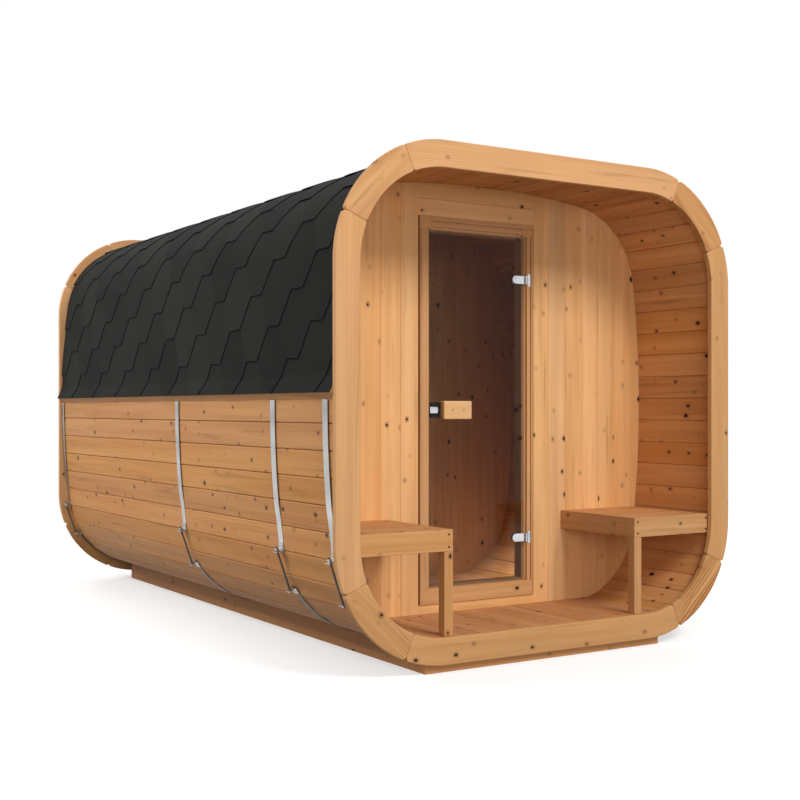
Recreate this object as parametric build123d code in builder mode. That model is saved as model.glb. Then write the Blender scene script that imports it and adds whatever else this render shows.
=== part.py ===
from build123d import *
import os
from math import asin, ceil, cos, floor, pi, radians, sin, sqrt

# An outdoor sauna: a long shell of wooden staves with a rounded square section, held between two
# framed ends by steel bands, with an open porch, a glass door, a first room and a hot room.
# Millimetres. +X is to the right of someone facing the door, the front is at -Y, +Z is up,
# and the origin is under the middle of the building, at the underside of its base beams.

# Overall sizes
building_length = 3800.0
base_drop = 35.0

# End frames
frame_size = 2280.0
frame_face = 120.0
frame_thickness = 28.0
frame_corner_radius = 550.0
corner_board_sweep = 45.0
outer_notch_width = 22.0
outer_notch_depth = 15.0
inner_notch_width = 14.0
inner_notch_depth = 9.0

# Stave shell
shell_inside_frame = 20.0
stave_thickness = 38.0
side_bow_radius = 5000.0
shell_corner_radius = 445.0
stave_count = 67
stave_gap = 0.5
stave_groove = 4.0

# Cross walls, placed by their middles
wall_thickness = 40.0
wall_clearance = 1.0
front_wall_from_front = 610.0
partition_from_front = 1748.0
rear_wall_from_rear = 55.0

# Base
beam_width = 50.0
base_half_width = 682.0
base_end_from_rear = 140.0
cross_plank_thickness = 45.0

# Floor
floor_top = 153.0
floor_thickness = 28.0
floor_clearance = 5.0
joist_width = 45.0
joist_stave_count = 8
joist_spacing = 420.0
joist_end_inset = 12.0

# Front door
door_frame_width = 690.0
over_door_height = 171.0
door_frame_bottom = 196.0
jamb_face = 50.0
head_face = 61.0
sill_face = 77.0
door_frame_depth = 70.0
door_frame_proud = 6.0
door_frame_gap = 8.0
stop_width = 15.0
leaf_thickness = 8.0
leaf_clearance = 5.0
leaf_setback = 2.0

# Door fittings
hinge_height = 60.0
hinge_plate_width = 60.0
hinge_plate_thickness = 6.0
hinge_plate_inset = 2.0
hinge_plate_corner_radius = 24.0
hinge_from_leaf_end = 215.0
hinge_barrel_radius = 8.0
hinge_pin_radius = 4.0
hinge_pin_clearance = 0.3
hinge_axis_out = 9.0
hinge_axis_from_leaf = 6.0
hinge_knuckle_gap = 1.0
jamb_plate_width = 22.0
jamb_plate_thickness = 3.0
jamb_plate_from_axis = 9.0
handle_width = 165.0
handle_height = 90.0
handle_thickness = 26.0
handle_corner_radius = 7.0
handle_edge_chamfer = 3.0
handle_from_edge = 70.0
handle_centre_height = 1142.0
latch_width = 44.0
latch_height = 34.0
latch_thickness = 4.0
latch_corner_radius = 8.0

# Doorway through the partition
partition_door_width = 640.0
partition_door_height = 1800.0

# Porch benches
bench_top = 620.0
bench_inner_edge = 532.0
bench_seat_thickness = 28.0
bench_apron_height = 95.0
bench_apron_thickness = 28.0
bench_front_gap = 5.0
bench_side_clearance = 5.0
bench_leg_side = 46.0

# Steel bands
band_width = 42.0
band_thickness = 2.0
porch_band_from_front = 116.0
band_slot_clearance = 1.0
tensioner_turn = 70.0
tensioner_length = 190.0
tensioner_foot = 34.0
tensioner_plate = 4.0
tensioner_height = 28.0
tensioner_rod_radius = 4.0
tensioner_rod_sides = 16
tensioner_rod_height = 18.0
tensioner_rod_end = 16.0
tensioner_nut_radius = 8.0
tensioner_nut_length = 7.0

# Eave battens and shingles
eave_bottom = 1188.0
eave_tip_height = 1218.0
eave_tip_out = 30.0
eave_batten_top = 1290.0
shingle_thickness = 12.0

front = -building_length / 2
rear = building_length / 2
centre_height = base_drop + frame_size / 2
shell_front = front + frame_thickness
shell_rear = rear - frame_thickness
shell_length = shell_rear - shell_front
shell_outer_half = frame_size / 2 - shell_inside_frame
shell_inner_half = shell_outer_half - stave_thickness

# Section of the shell: four bowed sides joined by four tighter corners. Each side is an arc about a
# point beyond the middle, and each corner arc runs into it without a kink.
bow_centre = side_bow_radius - shell_inner_half
corner_reach = side_bow_radius - shell_corner_radius
corner_centre = (sqrt(2 * corner_reach**2 - bow_centre**2) - bow_centre) / 2
side_turn = asin(corner_centre / corner_reach)
half_side_length = (side_bow_radius + stave_thickness) * side_turn
corner_length = (shell_corner_radius + stave_thickness) * (pi / 2 - 2 * side_turn)
quarter_length = 2 * half_side_length + corner_length
stave_pitch = 4 * quarter_length / stave_count
face_inset = stave_gap / 2 + stave_groove


def shell_point(distance, depth):
    """Point (x, z) of the section at a distance along its outer face from the bottom, going up the
    right side, and at a depth below the outer face."""
    quarter, along = divmod(distance, quarter_length)
    if along < half_side_length:
        turn = along / (side_bow_radius + stave_thickness)
        middle = Vector(0, bow_centre)
        radius = side_bow_radius
    elif along < half_side_length + corner_length:
        turn = side_turn + (along - half_side_length) / (shell_corner_radius + stave_thickness)
        middle = Vector(corner_centre, -corner_centre)
        radius = shell_corner_radius
    else:
        turn = pi / 2 - (quarter_length - along) / (side_bow_radius + stave_thickness)
        middle = Vector(-bow_centre, 0)
        radius = side_bow_radius
    reach = radius + stave_thickness - depth
    place = middle + Vector(reach * sin(turn), -reach * cos(turn))
    place = place.rotate(Axis.Z, 90 * quarter)
    return (place.X, place.Y + centre_height)


def seam_points(first, last, depth):
    """Section points at the seams between staves, from one seam to another."""
    return [shell_point(seam * stave_pitch, depth) for seam in range(first, last + 1)]


def stave_outline(stave):
    """Section of one stave, with small bevels that leave a V groove along the seam outside."""
    low = stave * stave_pitch + stave_gap / 2
    high = (stave + 1) * stave_pitch - stave_gap / 2
    return [
        shell_point(low, stave_thickness),
        shell_point(high, stave_thickness),
        shell_point(high, stave_groove),
        shell_point(high - stave_groove, 0),
        shell_point(low + stave_groove, 0),
        shell_point(low, stave_groove),
    ]


def face_point(distance, depth=0.0):
    """Point on the flat outer face of a stave, or straight across the groove beside it."""
    seam = round(distance / stave_pitch) * stave_pitch
    if abs(distance - seam) < face_inset:
        low, high = seam - face_inset, seam + face_inset
    else:
        seam = floor(distance / stave_pitch) * stave_pitch
        low, high = seam + face_inset, seam + stave_pitch - face_inset
    start, end = Vector(*shell_point(low, depth)), Vector(*shell_point(high, depth))
    place = start + (end - start) * ((distance - low) / (high - low))
    return (place.X, place.Y)


def face_points(start, end, depth=0.0):
    """Section points along the flat outer faces of the staves between two distances."""
    stops = {start, end}
    for seam in range(floor(start / stave_pitch), ceil(end / stave_pitch) + 1):
        for stop in (seam * stave_pitch - face_inset, seam * stave_pitch + face_inset):
            if start < stop < end:
                stops.add(stop)
    return [face_point(stop, depth) for stop in sorted(stops)]


def underside_height(x):
    """Height of the shell's outer face above the ground, at a distance from the middle."""
    points = face_points(0, quarter_length)
    for (x1, z1), (x2, z2) in zip(points, points[1:]):
        if x1 <= abs(x) <= x2:
            return z1 + (z2 - z1) * (abs(x) - x1) / (x2 - x1)
    return points[-1][1]


def inner_half_width(height):
    """Half the width between the inner faces of the staves at a height above the ground."""
    points = seam_points(0, stave_count // 2, stave_thickness)
    for (x1, z1), (x2, z2) in zip(points, points[1:]):
        if z1 <= height <= z2:
            return x1 + (x2 - x1) * (height - z1) / (z2 - z1)
    return 0.0


def section_at(y):
    """Plane across the building: a positive extrude from it runs towards the front."""
    return Plane.XZ.offset(-y)


def finish(piece, name):
    piece.part.label = name
    export_step(piece.part, "parts/" + name + ".step")


os.makedirs("parts", exist_ok=True)

# Shell staves, in groups that a builder would call sides, corners, roof and bottom
stave_groups = {
    "shell_lower_right_corner": range(6, 11),
    "shell_right_side": range(11, 22),
    "shell_upper_right_corner": range(22, 28),
    "shell_roof": range(28, 39),
    "shell_upper_left_corner": range(39, 45),
    "shell_left_side": range(45, 56),
    "shell_lower_left_corner": range(56, 61),
    "shell_bottom": range(61, 73),
}
for group_name, staves in stave_groups.items():
    with BuildPart() as stave_group:
        with BuildSketch(section_at(shell_rear)):
            for stave in staves:
                with BuildLine():
                    Polyline(*stave_outline(stave), close=True)
                make_face()
        extrude(amount=shell_length)
    finish(stave_group, group_name)

# End frames: four straight boards and four corner boards each, mitred together into one rounded
# square ring, with a small notch at both ends of every mitre
frame_corner_at = frame_size / 2 - frame_corner_radius
frame_inner_radius = frame_corner_radius - frame_face
with BuildSketch() as corner_wedges:
    for quarter in range(4):
        corner_middle = Vector(frame_corner_at * sqrt(2), 0).rotate(Axis.Z, 45 + 90 * quarter)
        mitre_turns = [45 + 90 * quarter + side_sign * corner_board_sweep / 2 for side_sign in (-1, 1)]
        wedge_edges = [
            corner_middle + Vector(frame_size, 0).rotate(Axis.Z, mitre_turn) for mitre_turn in mitre_turns
        ]
        with BuildLine():
            Polyline(corner_middle, *wedge_edges, close=True)
        make_face()

with BuildSketch() as joint_notches:
    for quarter in range(4):
        corner_middle = Vector(frame_corner_at * sqrt(2), 0).rotate(Axis.Z, 45 + 90 * quarter)
        for side_sign in (-1, 1):
            mitre_turn = 45 + 90 * quarter + side_sign * corner_board_sweep / 2
            for radius, depth, width in (
                (frame_corner_radius, outer_notch_depth, outer_notch_width),
                (frame_inner_radius, -inner_notch_depth, inner_notch_width),
            ):
                notch_points = [
                    Vector(radius - depth, 0),
                    Vector(radius + depth, width),
                    Vector(radius + depth, -width),
                ]
                with BuildLine():
                    Polyline(
                        *[corner_middle + point.rotate(Axis.Z, mitre_turn) for point in notch_points],
                        close=True,
                    )
                make_face()

for frame_name, frame_plane_y in (("front", shell_front), ("rear", rear)):
    for piece_name, piece_mode in (("boards", Mode.SUBTRACT), ("corners", Mode.INTERSECT)):
        with BuildPart() as frame_piece:
            with BuildSketch(section_at(frame_plane_y)):
                with Locations((0, centre_height)):
                    RectangleRounded(frame_size, frame_size, frame_corner_radius)
                    RectangleRounded(
                        frame_size - 2 * frame_face,
                        frame_size - 2 * frame_face,
                        frame_inner_radius,
                        mode=Mode.SUBTRACT,
                    )
                    add(corner_wedges.sketch, mode=piece_mode)
                    add(joint_notches.sketch, mode=Mode.SUBTRACT)
            extrude(amount=frame_thickness)
        finish(frame_piece, frame_name + "_frame_" + piece_name)

# Cross walls, each an even distance inside the shell, split beside, over and under a doorway
wall_outline = seam_points(0, stave_count - 1, stave_thickness + wall_clearance)
front_wall_front = front + front_wall_from_front - wall_thickness / 2
front_wall_back = front_wall_front + wall_thickness
partition_front = front + partition_from_front - wall_thickness / 2
partition_back = partition_front + wall_thickness
rear_wall_front = rear - rear_wall_from_rear - wall_thickness / 2
rear_wall_back = rear_wall_front + wall_thickness
door_opening_half = door_frame_width / 2 + door_frame_gap
door_frame_top = centre_height + shell_inner_half - over_door_height
partition_door_top = floor_top + partition_door_height
doorways = {
    "front_wall": (front_wall_back, door_opening_half, door_frame_bottom, door_frame_top),
    "partition": (partition_back, partition_door_width / 2, floor_top, partition_door_top),
}
for wall_name, (wall_back, half_opening, opening_bottom, opening_top) in doorways.items():
    far = frame_size
    wall_regions = {
        "left": ((-far, 0), (-half_opening, far + base_drop)),
        "right": ((half_opening, 0), (far, far + base_drop)),
        "over_door": ((-half_opening, opening_top), (half_opening, far + base_drop)),
        "under_door": ((-half_opening, 0), (half_opening, opening_bottom)),
    }
    for region_name, ((left_x, low_z), (right_x, high_z)) in wall_regions.items():
        with BuildPart() as wall_piece:
            with BuildSketch(section_at(wall_back)):
                with BuildLine():
                    Polyline(*wall_outline, close=True)
                make_face()
                with Locations((left_x, low_z)):
                    Rectangle(right_x - left_x, high_z - low_z, align=Align.MIN, mode=Mode.INTERSECT)
            extrude(amount=wall_thickness)
        finish(wall_piece, wall_name + "_" + region_name)

with BuildPart() as rear_wall:
    with BuildSketch(section_at(rear_wall_back)):
        with BuildLine():
            Polyline(*wall_outline, close=True)
        make_face()
    extrude(amount=wall_thickness)
finish(rear_wall, "rear_wall")

# Floors, planed at both edges to the slope of the shell, on joists shaped to its bottom
floor_underside = floor_top - floor_thickness
floor_top_half = inner_half_width(floor_top) - floor_clearance
floor_underside_half = inner_half_width(floor_underside) - floor_clearance
floor_zones = {
    "porch_floor": (shell_front + floor_clearance, front_wall_front),
    "first_room_floor": (front_wall_back, partition_front),
    "hot_room_floor": (partition_back, rear_wall_front),
}
joist_backs = []
for floor_name, (zone_front, zone_back) in floor_zones.items():
    with BuildPart() as floor_slab:
        with BuildSketch(section_at(zone_back)):
            with BuildLine():
                Polyline(
                    (-floor_underside_half, floor_underside),
                    (floor_underside_half, floor_underside),
                    (floor_top_half, floor_top),
                    (-floor_top_half, floor_top),
                    close=True,
                )
            make_face()
        extrude(amount=zone_back - zone_front)
    finish(floor_slab, floor_name)
    first_back = zone_front + joist_end_inset + joist_width
    last_back = zone_back - joist_end_inset
    spaces = ceil((last_back - first_back) / joist_spacing)
    for joist in range(spaces + 1):
        joist_backs.append(first_back + (last_back - first_back) * joist / spaces)

joist_reach = joist_stave_count // 2
joist_underside = seam_points(-joist_reach, joist_reach, stave_thickness)
with BuildPart() as floor_joists:
    for joist_back in joist_backs:
        with BuildSketch(section_at(joist_back)):
            with BuildLine():
                Polyline(
                    *joist_underside,
                    (joist_underside[-1][0], floor_underside),
                    (joist_underside[0][0], floor_underside),
                    close=True,
                )
            make_face()
        extrude(amount=joist_width)
finish(floor_joists, "floor_joists")

# Base: two long beams and two cross planks cut to the shell's underside
band_middles = [
    front + porch_band_from_front,
    front + front_wall_from_front,
    front + partition_from_front,
    rear - rear_wall_from_rear,
]
base_front = shell_front
base_back = rear - base_end_from_rear
beam_front = base_front + cross_plank_thickness
beam_back = base_back - cross_plank_thickness
beam_inner = base_half_width - beam_width
slot_depth = band_thickness + band_slot_clearance
for beam_name, side_sign in (("left_base_beam", -1), ("right_base_beam", 1)):
    beam_top = [
        (side_sign * x, underside_height(x)) for x in (beam_inner, base_half_width)
    ]
    with BuildPart() as base_beam:
        with BuildSketch(section_at(beam_back)):
            with BuildLine():
                Polyline(
                    (side_sign * base_half_width, 0),
                    (side_sign * beam_inner, 0),
                    *beam_top,
                    close=True,
                )
            make_face()
        extrude(amount=beam_back - beam_front)
        for band_middle in band_middles:
            slot_back = band_middle + band_width / 2 + band_slot_clearance
            with BuildSketch(section_at(slot_back)):
                with BuildLine():
                    Polyline(
                        (beam_top[0][0], beam_top[0][1] - slot_depth),
                        (beam_top[1][0], beam_top[1][1] - slot_depth),
                        (beam_top[1][0], beam_top[1][1] + slot_depth),
                        (beam_top[0][0], beam_top[0][1] + slot_depth),
                        close=True,
                    )
                make_face()
            extrude(amount=band_width + 2 * band_slot_clearance, mode=Mode.SUBTRACT)
    finish(base_beam, beam_name)

plank_top_right = [
    point for point in face_points(0, quarter_length) if point[0] < base_half_width
] + [(base_half_width, underside_height(base_half_width))]
plank_top_left = [(-x, z) for x, z in reversed(plank_top_right)]
with BuildPart() as base_cross_planks:
    for plank_back in (beam_front, base_back):
        with BuildSketch(section_at(plank_back)):
            with BuildLine():
                Polyline(
                    (-base_half_width, 0),
                    *plank_top_left,
                    *plank_top_right[1:],
                    (base_half_width, 0),
                    close=True,
                )
            make_face()
        extrude(amount=cross_plank_thickness)
finish(base_cross_planks, "base_cross_planks")

# Door frame: jambs, head and sill, each with a stop behind the leaf
frame_front = front_wall_front - door_frame_proud
leaf_front = frame_front + leaf_setback
leaf_back = leaf_front + leaf_thickness
stop_front = leaf_back + leaf_clearance
frame_back = frame_front + door_frame_depth
jamb_inner = door_frame_width / 2 - jamb_face
sill_top = door_frame_bottom + sill_face
head_bottom = door_frame_top - head_face
stop_inner = jamb_inner - stop_width
with BuildPart() as door_jambs:
    with BuildSketch(Plane.XY.offset(sill_top)):
        for side_sign in (-1, 1):
            with BuildLine():
                Polyline(
                    (side_sign * door_frame_width / 2, frame_front),
                    (side_sign * jamb_inner, frame_front),
                    (side_sign * jamb_inner, stop_front),
                    (side_sign * stop_inner, stop_front),
                    (side_sign * stop_inner, frame_back),
                    (side_sign * door_frame_width / 2, frame_back),
                    close=True,
                )
            make_face()
    extrude(amount=head_bottom - sill_top)
finish(door_jambs, "door_jambs")

for rail_name, outer_z, inner_z, stop_z in (
    ("door_head", door_frame_top, head_bottom, head_bottom - stop_width),
    ("door_sill", door_frame_bottom, sill_top, sill_top + stop_width),
):
    with BuildPart() as frame_rail:
        with BuildSketch(section_at(frame_back)):
            with Locations((0, (outer_z + inner_z) / 2)):
                Rectangle(door_frame_width, abs(outer_z - inner_z))
        extrude(amount=door_frame_depth)
        with BuildSketch(section_at(frame_back)):
            with Locations((0, (inner_z + stop_z) / 2)):
                Rectangle(2 * stop_inner, stop_width)
        extrude(amount=frame_back - stop_front)
    finish(frame_rail, rail_name)

# Glass leaf
leaf_half_width = jamb_inner - leaf_clearance
leaf_bottom = sill_top + leaf_clearance
leaf_top = head_bottom - leaf_clearance
with BuildPart() as door_glass:
    with BuildSketch(section_at(leaf_back)):
        with Locations((0, (leaf_bottom + leaf_top) / 2)):
            Rectangle(2 * leaf_half_width, leaf_top - leaf_bottom)
    extrude(amount=leaf_thickness)
finish(door_glass, "door_glass")

# Hinges: clips on the glass with the outer knuckles, plates on the jamb with the middle one and a pin
hinge_x = leaf_half_width + hinge_axis_from_leaf
hinge_y = frame_front - hinge_axis_out
hinge_middles = (leaf_bottom + hinge_from_leaf_end, leaf_top - hinge_from_leaf_end)
knuckle_height = (hinge_height - 2 * hinge_knuckle_gap) / 3
clip_right = leaf_half_width - hinge_plate_inset
clip_back_right = stop_inner - leaf_clearance
with BuildPart() as hinge_clips:
    for middle in hinge_middles:
        low = middle - hinge_height / 2
        with BuildSketch(Plane.XY.offset(low)):
            with Locations((clip_right, leaf_front)):
                Rectangle(hinge_plate_width, hinge_plate_thickness, align=Align.MAX)
            with Locations((clip_back_right, leaf_back)):
                Rectangle(
                    hinge_plate_width - clip_right + clip_back_right,
                    hinge_plate_thickness,
                    align=(Align.MAX, Align.MIN),
                )
        extrude(amount=hinge_height)
        for knuckle_low in (low, low + hinge_height - knuckle_height):
            with BuildSketch(Plane.XY.offset(knuckle_low)):
                with Locations((hinge_x, hinge_y)):
                    Circle(hinge_barrel_radius)
                with Locations((hinge_x, leaf_front - hinge_plate_thickness)):
                    Rectangle(
                        hinge_x - clip_right + hinge_plate_thickness,
                        hinge_plate_thickness / 2,
                        align=(Align.MAX, Align.MIN),
                    )
                with Locations((hinge_x, hinge_y)):
                    Circle(hinge_pin_radius + hinge_pin_clearance, mode=Mode.SUBTRACT)
            extrude(amount=knuckle_height)
    pad_corners = hinge_clips.edges().filter_by(Axis.Y).group_by(Axis.X)[0]
    fillet(pad_corners, radius=hinge_plate_corner_radius)
finish(hinge_clips, "hinge_clips")

with BuildPart() as hinge_plates:
    for middle in hinge_middles:
        low = middle - hinge_height / 2
        with BuildSketch(Plane.XY.offset(low)):
            with Locations((hinge_x + jamb_plate_from_axis, frame_front)):
                Rectangle(jamb_plate_width, jamb_plate_thickness, align=(Align.MIN, Align.MAX))
            with Locations((hinge_x, hinge_y)):
                Circle(hinge_pin_radius)
        extrude(amount=hinge_height)
        with BuildSketch(Plane.XY.offset(middle - knuckle_height / 2)):
            with Locations((hinge_x, hinge_y)):
                Circle(hinge_barrel_radius)
            with Locations((hinge_x, frame_front)):
                Rectangle(
                    jamb_plate_from_axis + jamb_plate_width / 2,
                    jamb_plate_thickness * 2,
                    align=(Align.MIN, Align.MAX),
                )
        extrude(amount=knuckle_height)
finish(hinge_plates, "hinge_plates")

# Handle blocks, one on each face of the glass, and the latch clip beside them
handle_left = -leaf_half_width + handle_from_edge
with BuildPart() as door_handle:
    for block_back in (leaf_front, leaf_back + handle_thickness):
        with BuildSketch(section_at(block_back)):
            with Locations((handle_left + handle_width / 2, handle_centre_height)):
                RectangleRounded(handle_width, handle_height, handle_corner_radius)
        extrude(amount=handle_thickness)
    handle_faces = door_handle.faces().sort_by(Axis.Y)
    chamfer(handle_faces[0].edges() + handle_faces[-1].edges(), length=handle_edge_chamfer)
finish(door_handle, "door_handle")

latch_left = -leaf_half_width + hinge_plate_inset
latch_back_left = -stop_inner + leaf_clearance
with BuildPart() as door_latch:
    with BuildSketch(Plane.XY.offset(handle_centre_height - latch_height / 2)):
        with Locations((latch_left, leaf_front)):
            Rectangle(latch_width, latch_thickness, align=(Align.MIN, Align.MAX))
        with Locations((latch_back_left, leaf_back)):
            Rectangle(latch_width + latch_left - latch_back_left, latch_thickness, align=Align.MIN)
    extrude(amount=latch_height)
    latch_corners = door_latch.edges().filter_by(Axis.Y).group_by(Axis.X)[-1]
    fillet(latch_corners, radius=latch_corner_radius)
finish(door_latch, "door_latch")

# Porch benches, from the front wall to a front apron, each on one leg
apron_front = shell_front + bench_front_gap
apron_back = apron_front + bench_apron_thickness
apron_low = bench_top - bench_apron_height
seat_low = bench_top - bench_seat_thickness
bench_outer = min(inner_half_width(apron_low), inner_half_width(bench_top)) - bench_side_clearance
seat_inner = bench_inner_edge + bench_apron_thickness
seat_middle = (seat_inner + bench_outer) / 2
apron_middle = (bench_inner_edge + bench_outer) / 2
leg_middle = bench_inner_edge + bench_leg_side / 2
for seat_name, side_sign in (("left_bench_seat", -1), ("right_bench_seat", 1)):
    with BuildPart() as bench_seat:
        with BuildSketch(Plane.XY.offset(seat_low)):
            with Locations((side_sign * seat_middle, (apron_back + front_wall_front) / 2)):
                Rectangle(bench_outer - seat_inner, front_wall_front - apron_back)
        extrude(amount=bench_seat_thickness)
    finish(bench_seat, seat_name)

with BuildPart() as bench_front_aprons:
    with BuildSketch(section_at(apron_back)):
        for side_sign in (-1, 1):
            with Locations((side_sign * apron_middle, (apron_low + bench_top) / 2)):
                Rectangle(bench_outer - bench_inner_edge, bench_apron_height)
    extrude(amount=bench_apron_thickness)
finish(bench_front_aprons, "bench_front_aprons")

with BuildPart() as bench_end_aprons:
    with BuildSketch(section_at(front_wall_front)):
        for side_sign in (-1, 1):
            with Locations((side_sign * (bench_inner_edge + seat_inner) / 2, (apron_low + bench_top) / 2)):
                Rectangle(bench_apron_thickness, bench_apron_height)
    extrude(amount=front_wall_front - apron_back)
finish(bench_end_aprons, "bench_end_aprons")

with BuildPart() as bench_legs:
    with BuildSketch(Plane.XY.offset(floor_top)):
        for side_sign in (-1, 1):
            with Locations((side_sign * leg_middle, apron_front + bench_leg_side / 2)):
                Rectangle(bench_leg_side, bench_leg_side)
    extrude(amount=apron_low - floor_top)
finish(bench_legs, "bench_legs")

# Steel bands round the shell from eave to eave, parted at the lower corners by threaded tensioners
eave_distance = quarter_length + eave_bottom - centre_height
tensioner_middle = half_side_length + (radians(tensioner_turn) - side_turn) * (
    shell_corner_radius + stave_thickness
)
tensioner_low = tensioner_middle - tensioner_length / 2
tensioner_high = tensioner_middle + tensioner_length / 2
band_runs = (
    (-eave_distance, -tensioner_high),
    (-tensioner_low, tensioner_low),
    (tensioner_high, eave_distance),
)
with BuildPart() as steel_bands:
    for band_middle in band_middles:
        for run_start, run_end in band_runs:
            with BuildSketch(section_at(band_middle + band_width / 2)):
                with BuildLine():
                    Polyline(
                        *face_points(run_start, run_end),
                        *reversed(face_points(run_start, run_end, -band_thickness)),
                        close=True,
                    )
                make_face()
            extrude(amount=band_width)
finish(steel_bands, "steel_bands")

# Each tensioner: two angle brackets on the band's ends, with a threaded rod and nuts between them
with BuildPart() as band_tensioners:
    for band_middle in band_middles:
        for side_sign in (-1, 1):
            rod_ends = []
            for end_distance, inward in ((tensioner_low, -1), (tensioner_high, 1)):
                foot_stops = sorted(
                    (side_sign * end_distance, side_sign * (end_distance + inward * tensioner_foot))
                )
                foot_under = face_points(*foot_stops, -band_thickness)
                foot_over = face_points(*foot_stops, -band_thickness - tensioner_plate)
                foot_root = Vector(*face_point(side_sign * end_distance, -band_thickness))
                foot_tip = Vector(
                    *face_point(side_sign * (end_distance + inward * tensioner_foot), -band_thickness)
                )
                along = (foot_tip - foot_root).normalized()
                outward = along.rotate(Axis.Z, -90 * side_sign * inward)
                with BuildSketch(section_at(band_middle + band_width / 2)):
                    with BuildLine():
                        Polyline(*foot_under, *reversed(foot_over), close=True)
                    make_face()
                    with BuildLine():
                        Polyline(
                            foot_root,
                            foot_root + outward * tensioner_height,
                            foot_root + outward * tensioner_height + along * tensioner_plate,
                            foot_root + outward * tensioner_plate / 2 + along * tensioner_plate,
                            close=True,
                        )
                    make_face()
                extrude(amount=band_width)
                rod_ends.append(foot_root + outward * tensioner_rod_height)
            rod_start = Vector(rod_ends[0].X, band_middle, rod_ends[0].Y)
            rod_run = Vector(rod_ends[1].X, band_middle, rod_ends[1].Y) - rod_start
            rod_way = rod_run.normalized()
            with BuildSketch(Plane(rod_start - rod_way * tensioner_rod_end, z_dir=rod_way)):
                RegularPolygon(tensioner_rod_radius, tensioner_rod_sides)
            extrude(amount=rod_run.length + 2 * tensioner_rod_end)
            for nut_start in (-tensioner_plate - tensioner_nut_length, rod_run.length + tensioner_plate):
                with BuildSketch(Plane(rod_start + rod_way * nut_start, z_dir=rod_way)):
                    RegularPolygon(tensioner_nut_radius, 6)
                extrude(amount=tensioner_nut_length)
finish(band_tensioners, "band_tensioners")

# Eave battens, three-cornered, that throw the lowest shingles clear of the sides
batten_top_distance = quarter_length + eave_batten_top - centre_height
eave_tip = (shell_outer_half + eave_tip_out, eave_tip_height)
with BuildPart() as eave_battens:
    with BuildSketch(section_at(shell_rear)):
        for side_sign in (-1, 1):
            with BuildLine():
                Polyline(
                    *[(side_sign * x, z) for x, z in face_points(eave_distance, batten_top_distance)],
                    (side_sign * eave_tip[0], eave_tip[1]),
                    close=True,
                )
            make_face()
    extrude(amount=shell_length)
finish(eave_battens, "eave_battens")

# Shingles over both battens and the roof between them
roof_under = [eave_tip] + face_points(batten_top_distance, 2 * quarter_length)
roof_over = [(eave_tip[0] + shingle_thickness, eave_tip[1])] + face_points(
    batten_top_distance, 2 * quarter_length, -shingle_thickness
)
with BuildPart() as roof_shingles:
    with BuildSketch(section_at(shell_rear)):
        with BuildLine():
            Polyline(
                *roof_under,
                *[(-x, z) for x, z in reversed(roof_under[:-1])],
                *[(-x, z) for x, z in roof_over],
                *reversed(roof_over[:-1]),
                close=True,
            )
        make_face()
    extrude(amount=shell_length)
finish(roof_shingles, "roof_shingles")
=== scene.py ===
from math import asin, ceil, cos, floor, pi, radians, sin, sqrt

import bmesh
import bpy
from mathutils import Matrix, Vector


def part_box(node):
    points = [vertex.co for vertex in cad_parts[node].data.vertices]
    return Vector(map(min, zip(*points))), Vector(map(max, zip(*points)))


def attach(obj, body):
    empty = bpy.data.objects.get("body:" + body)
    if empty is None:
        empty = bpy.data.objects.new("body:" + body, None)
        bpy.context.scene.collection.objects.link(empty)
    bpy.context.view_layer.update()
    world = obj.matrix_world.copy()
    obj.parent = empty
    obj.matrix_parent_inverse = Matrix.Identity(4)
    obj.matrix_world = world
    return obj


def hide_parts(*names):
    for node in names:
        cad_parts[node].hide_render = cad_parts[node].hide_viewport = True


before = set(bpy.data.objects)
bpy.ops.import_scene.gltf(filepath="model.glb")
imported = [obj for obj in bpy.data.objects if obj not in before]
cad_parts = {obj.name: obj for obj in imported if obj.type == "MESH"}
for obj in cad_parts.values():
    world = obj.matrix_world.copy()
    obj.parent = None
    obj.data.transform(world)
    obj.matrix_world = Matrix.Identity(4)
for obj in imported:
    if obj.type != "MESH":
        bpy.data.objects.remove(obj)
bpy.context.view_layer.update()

# The outdoor sauna's finish: planed boards with grain and knots, overlapping shingles, steel bands,
# tinted glass. Metres, in the frame of the CAD model: the porch looks towards -Y, and +Z is up.

scene = bpy.context.scene

# Section of the shell: four bowed sides joined by four tighter corners, measured at its outer face
STAVE_COUNT = 67
STAVE_THICKNESS = 0.038
STAVE_GROOVE = 0.0045
GROOVE_SHOULDER = (0.25, 0.4)
SEAM_SLOT = 0.0022
SEAM_DEPTH = 0.014
SIDE_RADIUS = 5.038
CORNER_RADIUS = 0.483
SECTION_STEPS = 960

# Places read from the frame
ring_low, ring_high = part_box("front_frame_boards")
side_low, side_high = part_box("shell_left_side")
MIDDLE_Z = (ring_low.z + ring_high.z) / 2
SHELL_HALF = -side_low.x
SHELL_FRONT = side_low.y
SHELL_REAR = side_high.y
WALL_BOXES = [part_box(node) for node in ("front_wall_left", "partition_left", "rear_wall")]
HALF_CAD_BAND = 0.021
PORCH_BAND_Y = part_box("steel_bands")[0].y + HALF_CAD_BAND
BAND_MIDDLES = (PORCH_BAND_Y, *[(low.y + high.y) / 2 for low, high in WALL_BOXES])

# Shingles: hexagonal tabs in rows up both sides of the roof, with caps along the ridge
TAB_ROW = 0.1542
TAB_PITCH = 0.415
TAB_FLAT = 0.115
TAB_THICKNESS = 0.0036
TAB_HIDDEN = 0.02
TAB_PHASE = 0.2075
TAB_STEPS = 7
TAB_CURL = 0.0006
TAB_CURL_SHARE = 0.4
FIRST_ROW_ABOVE_MIDDLE = 0.041
FIRST_FLAT_FROM_FRONT = 0.149
CAP_HALF_WIDTH = 0.13
CAP_ROW = 0.145
CAP_THICKNESS = 0.0026
CAP_STEPS = 6

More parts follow.
